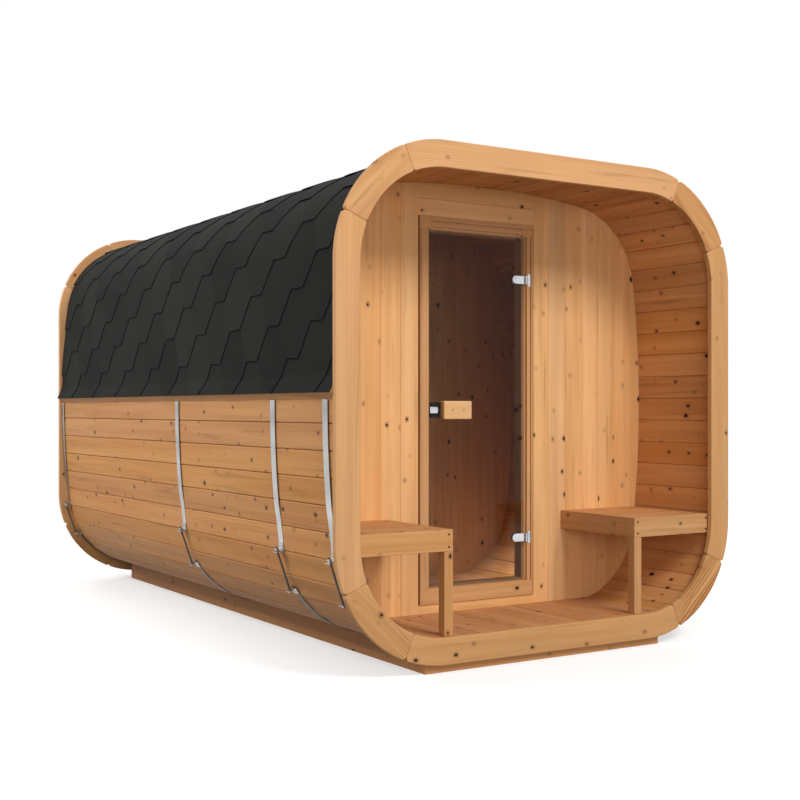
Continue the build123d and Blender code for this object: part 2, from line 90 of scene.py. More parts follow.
# Eave battens, which push the lowest shingles out
EAVE_TIP_Z = 1.218
EAVE_TOP_Z = 1.290
EAVE_OUT = 0.030
FRONT_RING_THICKNESS = 0.028

# Steel bands and their tensioners
BAND_WIDTH = 0.045
BAND_THICKNESS = 0.002
BAND_STEP = 0.02
BAND_STAND_OFF = 0.005
BAND_CONTACT = 0.12
TENSIONER_TURN = 70.6
TENSIONER_LENGTH = 0.178
BRACKET_WIDTH = 0.044
BRACKET_PLATE = 0.0035
BRACKET_FOOT = 0.036
BRACKET_LEG = 0.038
BRACKET_RIVETS = (0.7, 0.5)
ROD_OUT = 0.024
ROD_RADIUS = 0.005
ROD_SPARE = 0.018
ROD_END = 0.026
THREAD_PITCH = 0.0024
THREAD_ROOT = 0.86
ROD_TIP = 0.75
NUT_RADIUS = 0.0098
NUT_HEIGHT = 0.008
NUT_CHAMFER = (0.14, 0.9)
WASHER_RADIUS = 0.0125
WASHER_HEIGHT = 0.0014
NUT_GAP = 0.0005
RIVET_PROFILE = [(0.0, 0.0045), (0.0012, 0.0043), (0.0024, 0.003), (0.003, 0.0012)]
SCREW_PROFILE = [(0.0, 0.0052), (0.0009, 0.005), (0.0012, 0.0042), (0.0006, 0.0022)]
SCREW_PROUD = 0.0002
SCREW_EDGE = 0.0002

# Door fittings
FRAME_FRONT = -1.316
HINGE_HEIGHT = 0.06
HINGE_AXIS_OUT = (0.006, 0.011)
KNUCKLE_GAP = 0.001
KNUCKLE_RADIUS = 0.0065
CLAMP_LEFT = 0.212
CLAMP_RIGHT = 0.288
STOP_INNER = 0.280
JAMB_INNER = 0.295
FRAME_GROOVE = (0.031, 0.040, 0.010)
FRAME_REBATE = (0.011, 0.015)
SCREW_FROM_END = 0.022
APRON_THICKNESS = 0.028
CLAMP_BACK_RIGHT = STOP_INNER - 0.005
CLAMP_HEIGHT = 0.041
CLAMP_PLATE = 0.006
JAMB_PLATE = 0.003
JAMB_PLATE_WIDTH = 0.018
JAMB_PLATE_HEIGHT = 0.064
LATCH_LEFT = -0.288
LATCH_SIZE = (0.046, 0.031)
LATCH_PLATE = 0.004
LATCH_BODY_LEFT = 0.005 - STOP_INNER
LATCH_BODY_RIGHT = -0.225
LATCH_BODY_HEIGHT = 0.074
LATCH_BODY_DEPTH = 0.022
HANDLE_SCREWS = (0.3, 0.71)
PLATE_STEPS = 5
PAD_CORNER = 0.002
WEB_CORNER = 0.001
WEB_OVERLAP = 0.004
JAMB_PLATE_CORNER = 0.003
PIN_SPARE = 0.002
HANDLE_EDGE = 0.003
FITTING_EDGE = 0.0012
FITTING_ANGLE = 50.0
KNUCKLE_LIP = 0.0008
LATCH_CORNERS = (0.002, 0.008)
LATCH_BODY_CORNERS = (0.003, 0.006)
LATCH_BODY_EDGE = 0.002
APRON_SCREWS = (0.2, 0.78)

# Boards
WALL_BOARD_PITCH = 0.113
FLOOR_BOARD_PITCH = 0.095
SEAT_BOARDS = 4
GROOVE_LIP = 0.0025
INNER_LIP = 0.002
BOARD_EDGE = 0.0025
RING_EDGE = 0.004
FACE_CLEARANCE = 0.0001
BOARD_GAP = 0.0004
OVERRUN = 0.02
ONE_STRIP = 1000.0
ISLAND_STRIDE = 37.0
EDGE_ANGLE = 35.0
MERGE_DISTANCE = 0.00002
CUT_DISTANCE = 0.00001
FLAT_ANGLE = 0.4
TONE_RANGE = 0.14
GRAIN_SHIFT_LOW = (-30.0, -0.25, -0.25)
GRAIN_SHIFT_HIGH = (30.0, 0.25, 0.25)

# Wood: knots, growth rings, and how strongly each part of the figure darkens the colour
KNOT_SPACING = (0.16, 0.062, 0.15)
KNOT_COLOUR = (44, 18, 8)
KNOT_CHANCE = (0.46, 0.47)
KNOT_RADIUS = (0.0042, 0.0058)
KNOT_EDGE = (-0.0008, 0.0016)
KNOT_ROUNDNESS = (0.75, 0.3)
KNOT_SCATTER = 0.8
KNOT_WOBBLE = 0.003
WOBBLE_SCALE = 110.0
KNOT_HALO = 0.016
HALO_STRENGTH = 0.55
PITH_DEPTH = 0.11
RING_DRIFT = 0.05
RING_WAVER = 0.006
RING_BEND = 0.004
RING_PITCH = 0.0085
LATE_WOOD = 0.3
STREAKS = 0.36
BROAD_BANDS = 1.4
MIDDLE_SHADE = 0.36
MOTTLE = 0.3
STAIN = 0.22
FADING_RANGE = (0.42, 0.66)
STAIN_RANGE = (0.6, 0.74)
TINT_RANGE = 0.07
HUE_RANGE = 0.004
WOOD_RELIEF = 0.0006
WOOD_BUMP = 0.12
WOOD_ROUGHNESS = 0.62
ROUGHNESS_RANGE = 0.12
WOOD_SHINE = 0.25

# Noise drawn out along a board: its scale along the board and across it, and its detail
DRIFT_NOISE = (0.5, 6.0, 2.0)
WAVER_NOISE = (1.7, 22.0, 3.0)
STREAK_NOISE = (2.2, 95.0, 3.0)
BAND_NOISE = (0.7, 17.0, 2.0)
MOTTLE_NOISE = (2.0, 7.0, 3.0)
STAIN_NOISE = (1.5, 26.0, 3.0)

# Felt, plastic and glass
FELT_DARK = (22, 23, 22)
FELT_PALE = (52, 52, 49)
FELT_CUT = (8, 8, 8)
GRANULE_SCALE = 420.0
PLASTIC_DARK = (20, 19, 18)
PLASTIC_PALE = (34, 32, 30)
GLASS_TINT = (24, 17, 12)
GLASS_ALPHA = 0.25

# Light
WORLD_LIGHT = 0.42
FLOOR_GLOW = 0.47
FLOOR_PALE = (208, 208, 208)
FLOOR_DULL = (122, 122, 122)
FLOOR_FADE = (3.5, 9.0)
FLOOR_HALF = 30.0

# Camera, solved from the photograph's vanishing points and the door's standard size
CAMERA_PLACE = (-3.6275, -6.3497, 1.1474)
CAMERA_TURN = 31.86
FOCAL_PIXELS = 1241.9
PHOTO_SIDE = 800
SENSOR_WIDTH = 36.0
PRINCIPAL_POINT = (393.1, 408.96)
VIEW_DEPTH = 200.0


class Value:
    """A socket that takes part in Python expressions: each operator adds one Math node."""

    def __init__(self, tree, socket):
        self.tree = tree
        self.socket = socket

    def math(self, operation, *others, clamp=False):
        kind = "ShaderNodeMath"
        values = [self, *others]
        settings = {"operation": operation, "use_clamp": clamp}
        return self.tree.add(kind, settings, dict(enumerate(values)))

    def __add__(self, other):
        return self.math("ADD", other)

    def __sub__(self, other):
        return self.math("SUBTRACT", other)

    def __mul__(self, other):
        return self.math("MULTIPLY", other)

    def __truediv__(self, other):
        return self.math("DIVIDE", other)

    def __radd__(self, other):
        return self.tree.number(other).math("ADD", self)

    def __rsub__(self, other):
        return self.tree.number(other).math("SUBTRACT", self)

    def __rmul__(self, other):
        return self.tree.number(other).math("MULTIPLY", self)


class Tree:
    """A node tree with one way of adding a node: its type, its settings, then its sockets."""

    def __init__(self, node_tree):
        self.node_tree = node_tree

    def number(self, value):
        return Value(self, value)

    def add(self, kind, settings=None, inputs=None, output=0):
        node = self.node_tree.nodes.new(kind)
        for name, value in (settings or {}).items():
            setattr(node, name, value)
        for key, value in (inputs or {}).items():
            self.feed(node.inputs[key], value)
        return Value(self, node.outputs[output]) if node.outputs else node

    def feed(self, socket, value):
        if isinstance(value, Value):
            value = value.socket
        if isinstance(value, bpy.types.NodeSocket):
            self.node_tree.links.new(value, socket)
        else:
            socket.default_value = value

    def other(self, value, name):
        """Another output of the node that a value comes from."""
        return Value(self, value.socket.node.outputs[name])


def linear(red, green, blue):
    """Scene-linear colour of an 8-bit display colour."""
    def channel(value):
        value /= 255
        return value / 12.92 if value <= 0.04045 else ((value + 0.055) / 1.055) ** 2.4

    return (channel(red), channel(green), channel(blue), 1.0)


# Materials


def new_material(name):
    material = bpy.data.materials.new(name)
    material.use_nodes = True
    material.node_tree.nodes.clear()
    return material, Tree(material.node_tree)


def end_material(tree, **sockets):
    shader = tree.add("ShaderNodeBsdfPrincipled", None, {k.replace("_", " "): v for k, v in sockets.items()})
    tree.add("ShaderNodeOutputMaterial", None, {"Surface": shader})


def split(tree, vector):
    x = tree.add("ShaderNodeSeparateXYZ", None, {0: vector})
    return x, tree.other(x, "Y"), tree.other(x, "Z")


def join(tree, x, y, z):
    return tree.add("ShaderNodeCombineXYZ", None, {0: x, 1: y, 2: z})


def mix_colour(tree, factor, first, second):
    return tree.add("ShaderNodeMix", {"data_type": "RGBA"}, {0: factor, 6: first, 7: second}, output=2)


def noise(tree, vector, scale, detail=3.0, roughness=0.5):
    inputs = {"Vector": vector, "Scale": scale, "Detail": detail, "Roughness": roughness}
    return tree.add("ShaderNodeTexNoise", None, inputs)


def remap(tree, value, low, high, to_low=0.0, to_high=1.0):
    settings = {"interpolation_type": "SMOOTHSTEP"}
    inputs = {"Value": value, 1: low, 2: high, 3: to_low, 4: to_high}
    return tree.add("ShaderNodeMapRange", settings, inputs)


def attribute(tree, name, output):
    return tree.add("ShaderNodeAttribute", {"attribute_name": name}, output=output)


def object_place(tree):
    return tree.add("ShaderNodeTexCoord", output="Object")


def wood(name, pale, ring, knots=1.0, figure=1.0, ring_pitch=RING_PITCH):
    """Planed softwood. The board's own coordinates come from its grain attribute: x along the board,
    y and z across it, shifted at random from board to board."""
    material, tree = new_material(name)
    grain = attribute(tree, "grain", "Vector")
    tone = attribute(tree, "tone", "Fac")
    along, across, depth = split(tree, grain)

    def stretched(along_scale, across_scale, detail):
        """Noise drawn out along the board."""
        place = join(tree, along * along_scale, across * across_scale, depth * across_scale)
        return noise(tree, place, 1.0, detail)

    # Knots: scattered through the wood, mostly small, each with a darker halo that bends the grain
    cells = join(tree, along / KNOT_SPACING[0], across / KNOT_SPACING[1], depth / KNOT_SPACING[2])
    scatter = {"Vector": cells, "Scale": 1.0, "Randomness": KNOT_SCATTER}
    voronoi = tree.add("ShaderNodeTexVoronoi", None, scatter)
    centre_x, centre_y, centre_z = split(tree, tree.other(voronoi, "Position"))
    chance, size_seed, _ = split(tree, tree.other(voronoi, "Color"))
    wobble = noise(tree, grain, WOBBLE_SCALE, 2.0) - 0.5
    off_x = (along - centre_x * KNOT_SPACING[0]) * KNOT_ROUNDNESS[0]
    off_y = across - centre_y * KNOT_SPACING[1]
    off_z = (depth - centre_z * KNOT_SPACING[2]) * KNOT_ROUNDNESS[1]
    distance = (off_x * off_x + off_y * off_y + off_z * off_z).math("SQRT") + wobble * KNOT_WOBBLE
    present = remap(tree, chance, *KNOT_CHANCE, 0.0, knots)
    radius = (KNOT_RADIUS[0] + size_seed * size_seed * KNOT_RADIUS[1]) * present
    knot_mask = remap(tree, distance - radius, *KNOT_EDGE, 1.0, 0.0) * present
    halo = remap(tree, distance - radius, 0.0, KNOT_HALO, 1.0, 0.0) * present

    # Growth rings about a pith behind the board: the face cuts them in long uneven bands
    drift = stretched(*DRIFT_NOISE) - 0.5
    waver = stretched(*WAVER_NOISE) - 0.5
    ring_y = across + drift * RING_DRIFT
    ring_z = depth + PITH_DEPTH
    pith = (ring_y * ring_y + ring_z * ring_z).math("SQRT") + waver * RING_WAVER + halo * RING_BEND
    rings = (pith * (2 * pi / ring_pitch)).math("SINE") * 0.5 + 0.5
    late = rings * rings * figure
    streaks = stretched(*STREAK_NOISE)
    bands = stretched(*BAND_NOISE)
    mottle = stretched(*MOTTLE_NOISE)
    fading = remap(tree, mottle, *FADING_RANGE)
    shade = late * LATE_WOOD * fading + (streaks - 0.5) * STREAKS
    shade = shade + (bands - 0.5) * BROAD_BANDS + MIDDLE_SHADE
    stain = remap(tree, stretched(*STAIN_NOISE), *STAIN_RANGE)
    colour = mix_colour(tree, shade.math("ADD", 0.0, clamp=True), linear(*pale), linear(*ring))
    value = 1.0 + (tone - 0.5) * TONE_RANGE + (mottle - 0.5) * MOTTLE - stain * STAIN
    saturation = 1.0 + (tone.math("MULTIPLY", 7.3).math("FRACT") - 0.5) * TINT_RANGE
    hue = 0.5 + (tone.math("MULTIPLY", 3.7).math("FRACT") - 0.5) * HUE_RANGE
    tint = {"Hue": hue, "Saturation": saturation, "Value": value, "Color": colour}
    colour = tree.add("ShaderNodeHueSaturation", None, tint)
    reddish = [0.5 * (a + b) for a, b in zip(ring, KNOT_COLOUR)]
    colour = mix_colour(tree, halo * halo * HALO_STRENGTH, colour, linear(*reddish))
    colour = mix_colour(tree, knot_mask, colour, linear(*KNOT_COLOUR))
    height = (streaks - 0.5) * 0.5 + late * 0.25 - knot_mask * 0.3
    relief = {"Strength": WOOD_BUMP, "Distance": WOOD_RELIEF, "Height": height}
    bump = tree.add("ShaderNodeBump", None, relief)
    roughness = WOOD_ROUGHNESS + (streaks - 0.5) * ROUGHNESS_RANGE - knot_mask * ROUGHNESS_RANGE
    end_material(tree, Base_Color=colour, Roughness=roughness, Normal=bump, Specular_IOR_Level=WOOD_SHINE)
    return material


def shingle_material():
    """Black bitumen felt with mineral granules; each tab has its own tone, and the cut edge is bare."""
    material, tree = new_material("mineral_shingle")
    place = object_place(tree)
    tone = attribute(tree, "tone", "Fac")
    edge = attribute(tree, "cut_edge", "Fac")
    granules = noise(tree, place, GRANULE_SCALE, 2.0, 0.7)
    patches = noise(tree, place, 5.0, 3.0)
    shade = remap(tree, granules, 0.3, 0.72) * 0.6 + (tone - 0.5) * 0.28 + (patches - 0.5) * 0.25
    shade = shade.math("ADD", 0.1, clamp=True)
    colour = mix_colour(tree, shade, linear(*FELT_DARK), linear(*FELT_PALE))
    colour = mix_colour(tree, edge * 0.85, colour, linear(*FELT_CUT))
    bump = tree.add("ShaderNodeBump", None, {"Strength": 0.5, "Distance": 0.001, "Height": granules})
    end_material(tree, Base_Color=colour, Roughness=0.9, Normal=bump, Specular_IOR_Level=0.12)
    return material


def steel(name, colour, rough, brushed=0.0):
    material, tree = new_material(name)
    place = object_place(tree)
    x, y, z = split(tree, place)
    lines = noise(tree, join(tree, x * 8.0, y * 900.0, z * 8.0), 1.0, 2.0)
    clouds = noise(tree, place, 9.0, 3.0)
    roughness = rough + (lines - 0.5) * brushed + (clouds - 0.5) * 0.12
    darker = linear(*[channel * 0.86 for channel in colour])
    tint = mix_colour(tree, remap(tree, clouds, 0.3, 0.75), linear(*colour), darker)
    bump = tree.add("ShaderNodeBump", None, {"Strength": brushed * 0.4, "Distance": 0.0004, "Height": lines})
    end_material(tree, Base_Color=tint, Metallic=1.0, Roughness=roughness, Normal=bump)
    return material


def dark_plastic():
    material, tree = new_material("black_plastic")
    place = object_place(tree)
    speckle = noise(tree, place, 700.0, 2.0)
    colour = mix_colour(tree, speckle, linear(*PLASTIC_DARK), linear(*PLASTIC_PALE))
    end_material(tree, Base_Color=colour, Roughness=0.45 + speckle * 0.1)
    return material


def glass_material():
    material, tree = new_material("bronze_glass")
    place = object_place(tree)
    smears = noise(tree, place, 3.0, 3.0)
    roughness = 0.02 + remap(tree, smears, 0.45, 0.8) * 0.05
    tint = linear(*GLASS_TINT)
    end_material(tree, Base_Color=tint, Roughness=roughness, Alpha=GLASS_ALPHA, Specular_IOR_Level=0.35)
    return material


# Geometry trees


class Geometry(Tree):
    """A geometry tree with named inputs for its sizes."""

    def __init__(self, name, sizes):
        node_tree = bpy.data.node_groups.new(name, "GeometryNodeTree")
        super().__init__(node_tree)
        interface = node_tree.interface
        interface.new_socket("Geometry", in_out="INPUT", socket_type="NodeSocketGeometry")
        for size_name, kind in {**sizes, "Material": "Material"}.items():
            interface.new_socket(size_name, in_out="INPUT", socket_type="NodeSocket" + kind)
        interface.new_socket("Geometry", in_out="OUTPUT", socket_type="NodeSocketGeometry")
        self.group_input = node_tree.nodes.new("NodeGroupInput")

    def size(self, name):
        return Value(self, self.group_input.outputs[name])

    def vector_math(self, operation, first, second, output="Vector"):
        settings = {"operation": operation}
        key = "Scale" if operation == "SCALE" else 1
        return self.add("ShaderNodeVectorMath", settings, {0: first, key: second}, output)

    def dot(self, first, second):
        return self.vector_math("DOT_PRODUCT", first, second, "Value")

    def store(self, geometry, name, value, kind="FLOAT", domain="POINT"):
        settings = {"data_type": kind, "domain": domain}
        inputs = {0: geometry, "Name": name, "Value": value}
        return self.add("GeometryNodeStoreNamedAttribute", settings, inputs)

    def stored(self, name):
        return self.add("GeometryNodeInputNamedAttribute", {"data_type": "FLOAT_VECTOR"}, {"Name": name})

    def random(self, kind, low, high, number):
        seed = self.size("Seed")
        if kind == "FLOAT":
            inputs = {2: low, 3: high, "ID": number, "Seed": seed}
            return self.add("FunctionNodeRandomValue", {"data_type": kind}, inputs, output=1)
        inputs = {0: low, 1: high, "ID": number, "Seed": seed}
        return self.add("FunctionNodeRandomValue", {"data_type": kind}, inputs)

    def end(self, geometry):
        realized = self.add("GeometryNodeRealizeInstances", None, {0: geometry})
        inputs = {0: realized, "Material": self.size("Material")}
        covered = self.add("GeometryNodeSetMaterial", None, inputs)
        self.add("NodeGroupOutput", None, {0: covered})
        return self


def board_place(tree):
    """Position in a board's own directions: along it, across it and through it."""
    place = tree.add("GeometryNodeInputPosition")
    along, across = tree.size("Along"), tree.size("Across")
    through = tree.vector_math("CROSS_PRODUCT", along, across)
    return join(tree, tree.dot(place, along), tree.dot(place, across), tree.dot(place, through))


def make_grain_tree():
    """Gives each board its own run of grain and its own tone: by mesh island, and by strips between
    evenly spaced seams where several boards are one solid."""
    sizes = {"Along": "Vector", "Across": "Vector", "Pitch": "Float", "Start": "Float", "Seed": "Int"}
    tree = Geometry("board_grain", sizes)
    place = tree.add("GeometryNodeInputPosition")
    island = tree.add("GeometryNodeInputMeshIsland", output="Island Index")
    strip = (tree.dot(place, tree.size("Across")) - tree.size("Start")) / tree.size("Pitch")
    on_face = {"domain": "FACE", "data_type": "FLOAT"}
    strip = tree.add("GeometryNodeFieldOnDomain", on_face, {0: strip})
    number = island * ISLAND_STRIDE + strip.math("FLOOR")
    shift = tree.random("FLOAT_VECTOR", GRAIN_SHIFT_LOW, GRAIN_SHIFT_HIGH, number)
    grain = tree.vector_math("ADD", board_place(tree), shift)
    tone = tree.random("FLOAT", 0.0, 1.0, number)
    geometry = tree.group_input.outputs["Geometry"]
    geometry = tree.store(geometry, "grain", grain, "FLOAT_VECTOR", "CORNER")
    return tree.end(tree.store(geometry, "tone", tone, "FLOAT", "FACE"))


def make_set_out_tree():
    """Repeats a piece in rows and columns, each copy with its own grain and tone."""
    sizes = {
        "Count": "Int",
        "Columns": "Int",
        "Start": "Vector",
        "Column Step": "Vector",
        "Row Step": "Vector",
        "Odd Row Shift": "Vector",
        "Along": "Vector",
        "Across": "Vector",
        "Seed": "Int",
    }
    tree = Geometry("set_out", sizes)
    points = tree.add("GeometryNodePoints", None, {"Count": tree.size("Count")})
    index = tree.add("GeometryNodeInputIndex")
    row = (index / tree.size("Columns")).math("FLOOR")
    column = index - row * tree.size("Columns")
    place = tree.vector_math("SCALE", tree.size("Column Step"), column)
    place = tree.vector_math("ADD", place, tree.vector_math("SCALE", tree.size("Row Step"), row))
    odd = row.math("MODULO", 2.0)
    place = tree.vector_math("ADD", place, tree.vector_math("SCALE", tree.size("Odd Row Shift"), odd))
    place = tree.vector_math("ADD", place, tree.size("Start"))
    points = tree.add("GeometryNodeSetPosition", None, {0: points, "Position": place})
    piece = tree.store(tree.group_input.outputs["Geometry"], "grain", board_place(tree), "FLOAT_VECTOR")
    copies = tree.add("GeometryNodeInstanceOnPoints", None, {"Points": points, "Instance": piece})
    shift = tree.random("FLOAT_VECTOR", GRAIN_SHIFT_LOW, GRAIN_SHIFT_HIGH, index)
    copies = tree.store(copies, "shift", shift, "FLOAT_VECTOR", "INSTANCE")
    copies = tree.store(copies, "tone", tree.random("FLOAT", 0.0, 1.0, index), "FLOAT", "INSTANCE")
    rows = tree.add("GeometryNodeRealizeInstances", None, {0: copies})
    grain = tree.vector_math("ADD", tree.stored("grain"), tree.stored("shift"))
    rows = tree.store(rows, "grain", grain, "FLOAT_VECTOR")
    return tree.end(tree.add("GeometryNodeRemoveAttribute", None, {0: rows, "Name": "shift"}))


def make_wrap_tree():
    """Bends a flat layout round the shell's section: x is the distance along the section, y runs along
    the building, and z is the height over the outer face. The flare lifts the layout near the eaves."""
    sizes = {
        "Section": "Object",
        "Section Length": "Float",
        "Side": "Float",
        "Flare From": "Float",
        "Flare To": "Float",
        "Flare Out": "Float",
    }
    tree = Geometry("lay_on_section", sizes)
    distance, along, height = split(tree, tree.add("GeometryNodeInputPosition"))
    flare = {"Value": distance, 1: tree.size("Flare From"), 2: tree.size("Flare To")}
    flare.update({3: tree.size("Flare Out"), 4: 0.0})
    height = height + tree.add("ShaderNodeMapRange", None, flare)
    factor = (tree.size("Side") * distance / tree.size("Section Length")).math("FRACT")
    section = tree.add("GeometryNodeObjectInfo", None, {"Object": tree.size("Section")}, output="Geometry")
    settings = {"mode": "FACTOR", "data_type": "FLOAT"}
    sample = {"Curves": section, "Factor": factor}
    foot = tree.add("GeometryNodeSampleCurve", settings, sample, output="Position")
    outward = tree.vector_math("CROSS_PRODUCT", (0, 1, 0), tree.other(foot, "Tangent"))
    outward = tree.vector_math("NORMALIZE", outward, (0, 0, 0))
    place = tree.vector_math("ADD", foot, tree.vector_math("SCALE", outward, height))
    place = tree.vector_math("ADD", place, join(tree, 0.0, along, 0.0))
    bent = tree.group_input.outputs["Geometry"]
    bent = tree.add("GeometryNodeSetPosition", None, {0: bent, "Position": place})
    mirrored = tree.add("FunctionNodeCompare", {"operation": "GREATER_THAN"}, {0: tree.size("Side"), 1: 0.0})
    return tree.end(tree.add("GeometryNodeFlipFaces", None, {0: bent, "Selection": mirrored}))


def make_outline_tree():
    """Cuts a row of boards to the outline of a wall or floor."""
    tree = Geometry("cut_to_outline", {"Outline": "Object"})
    outline = tree.add("GeometryNodeObjectInfo", None, {"Object": tree.size("Outline")}, output="Geometry")
    cut = tree.add("GeometryNodeMeshBoolean", {"operation": "INTERSECT", "solver": "EXACT"})
    for mesh in (outline.socket, tree.group_input.outputs["Geometry"]):
        tree.node_tree.links.new(mesh, cut.socket.node.inputs["Mesh 2"])
    return tree.end(cut)


# Pieces


def link(name, mesh):
    piece = bpy.data.objects.new(name, mesh)
    scene.collection.objects.link(piece)
    return piece


def mesh_piece(name, shape):
    """A piece from a bmesh, which it uses up."""
    for face in shape.faces:
        face.smooth = False
    mesh = bpy.data.meshes.new(name)
    shape.to_mesh(mesh)
    shape.free()
    return link(name, mesh)


def cad_shape(*nodes):
    """The CAD solids of some nodes, with their loose triangles merged into flat faces."""
    joined = bmesh.new()
    for node in nodes:
        joined.from_mesh(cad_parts[node].data)
    bmesh.ops.remove_doubles(joined, verts=joined.verts, dist=MERGE_DISTANCE)
    bmesh.ops.dissolve_limit(joined, angle_limit=radians(FLAT_ANGLE), verts=joined.verts, edges=joined.edges)
    return joined


def bar_shape(outline, start, end, axes):
    """A bar with the given outline. The axes are those of the outline's two coordinates and the length."""
    shape = bmesh.new()
    first, second, length_way = axes
    ends = []
    for reach in (start, end):
        ring = [shape.verts.new(first * p + second * q + length_way * reach) for p, q in outline]
        ends.append(ring)
    shape.faces.new(ends[0])
    shape.faces.new(reversed(ends[1]))
    for low, high in zip(range(len(outline)), [*range(1, len(outline)), 0]):
        shape.faces.new((ends[0][high], ends[0][low], ends[1][low], ends[1][high]))
    bmesh.ops.recalc_face_normals(shape, faces=shape.faces)
    return shape


def apply_tree(piece, geometry, **sizes):
    modifier = piece.modifiers.new(geometry.node_tree.name, "NODES")
    modifier.node_group = geometry.node_tree
    sizes = {name.replace("_", " "): value for name, value in sizes.items()}
    for item in geometry.node_tree.interface.items_tree:
        if item.in_out == "INPUT" and item.name in sizes:
            modifier[item.identifier] = sizes[item.name]


def settle(piece):
    """Turns a piece and its modifiers into a plain mesh."""
    evaluated = piece.evaluated_get(bpy.context.evaluated_depsgraph_get())
    mesh = bpy.data.meshes.new_from_object(evaluated)
    piece.modifiers.clear()
    piece.data = mesh
    return piece


def remove(*pieces):
    for piece in pieces:
        bpy.data.objects.remove(piece)


def ease_edges(piece, width, angle=EDGE_ANGLE):
    bevel = piece.modifiers.new("eased_edges", "BEVEL")
    bevel.width = width
    bevel.segments = 2
    bevel.limit_method = "ANGLE"
    bevel.angle_limit = radians(angle)
    bevel.use_clamp_overlap = True


def settled_on(piece, body, slot, *nodes):
    """Puts a finished piece in its place in the model."""
    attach(piece, body)
    if nodes:
        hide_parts(*nodes)
    return piece


def recover(node, material):
    """Gives a CAD node, kept as it is, its finish."""
    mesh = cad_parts[node].data
    mesh.materials.clear()
    mesh.materials.append(material)


BOARD_GRAIN = make_grain_tree()
SET_OUT = make_set_out_tree()
LAY_ON_SECTION = make_wrap_tree()
CUT_TO_OUTLINE = make_outline_tree()

X_WAY, Y_WAY, Z_WAY = Vector((1, 0, 0)), Vector((0, 1, 0)), Vector((0, 0, 1))


def add_grain(piece, material, along, across, seed, pitch=ONE_STRIP, start=-ONE_STRIP / 2):
    sizes = {"Along": along, "Across": across, "Pitch": pitch, "Start": start, "Seed": seed}
    apply_tree(piece, BOARD_GRAIN, Material=material, **sizes)


def set_out(piece, material, count, seed, columns=None, along=Y_WAY, across=X_WAY, **steps):
    """Repeats a piece: in one row, unless the number of columns is given."""
    sizes = {"Count": count, "Columns": columns or count, "Along": along, "Across": across, "Seed": seed}
    apply_tree(piece, SET_OUT, Material=material, **sizes, **steps)


def solid_boards(
    name, nodes, material, slot, along, across, edge=BOARD_EDGE, seed=1, kept=None, body="sauna"
):
    """Pieces cut from CAD solids, with eased edges and grain."""
    shape = cad_shape(*nodes)
    if kept:
        others = [face for face in shape.faces if not kept(face.calc_center_median())]
        bmesh.ops.delete(shape, geom=others, context="FACES")
    piece = mesh_piece(name, shape)
    ease_edges(piece, edge)
    add_grain(piece, material, along, across, seed)
    return settled_on(settle(piece), body, slot, *nodes)


def board_row(name, node, material, slot, along, across, pitch, start, seed):
    """A wall or floor made of boards side by side, cut to the outline of its CAD solid."""
    low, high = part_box(node)
    through = across.cross(along)
    if sum(through) < 0:
        through = -through
    depth_low, depth_high = low.dot(through) + FACE_CLEARANCE, high.dot(through) - FACE_CLEARANCE
    side_low, side_high = BOARD_GAP / 2, pitch - BOARD_GAP / 2
    lip = GROOVE_LIP
    outline = (
        (side_low, depth_low + lip),
        (side_low + lip, depth_low),
        (side_high - lip, depth_low),
        (side_high, depth_low + lip),
        (side_high, depth_high - lip),
        (side_high - lip, depth_high),
        (side_low + lip, depth_high),
        (side_low, depth_high - lip),
    )
    reach = (low.dot(along) - OVERRUN, high.dot(along) + OVERRUN)
    piece = mesh_piece(name, bar_shape(outline, *reach, (across, through, along)))
    first = floor((low.dot(across) - start) / pitch)
    count = ceil((high.dot(across) - start) / pitch) - first
    steps = {"Start": across * (start + first * pitch), "Column_Step": across * pitch}
    set_out(piece, material, count, seed, along=along, across=across, **steps)
    outline_piece = mesh_piece(name + "_outline", cad_shape(node))
    apply_tree(piece, CUT_TO_OUTLINE, Outline=outline_piece, Material=material)
    add_grain(piece, material, along, across, seed, pitch, start)
    settle(piece)
    remove(outline_piece)
    return settled_on(piece, "sauna", slot, node)


# Section of the shell


def section_sizes():
    """Where the middles of the arcs lie, and how long a quarter of the section is."""
    bow_centre = SIDE_RADIUS - SHELL_HALF
    reach = SIDE_RADIUS - CORNER_RADIUS
    corner_centre = (sqrt(2 * reach**2 - bow_centre**2) - bow_centre) / 2
    side_turn = asin(corner_centre / reach)
    half_side = SIDE_RADIUS * side_turn
    quarter = 2 * half_side + CORNER_RADIUS * (pi / 2 - 2 * side_turn)
    return bow_centre, corner_centre, side_turn, half_side, quarter


BOW_CENTRE, CORNER_CENTRE, SIDE_TURN, HALF_SIDE, QUARTER = section_sizes()
SECTION_LENGTH = 4 * QUARTER
STAVE_PITCH = SECTION_LENGTH / STAVE_COUNT
TENSIONER_MIDDLE = HALF_SIDE + (radians(TENSIONER_TURN) - SIDE_TURN) * CORNER_RADIUS
TENSIONER_LOW = TENSIONER_MIDDLE - TENSIONER_LENGTH / 2
TENSIONER_HIGH = TENSIONER_MIDDLE + TENSIONER_LENGTH / 2
EAVE_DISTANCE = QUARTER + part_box("eave_battens")[0].z - MIDDLE_Z


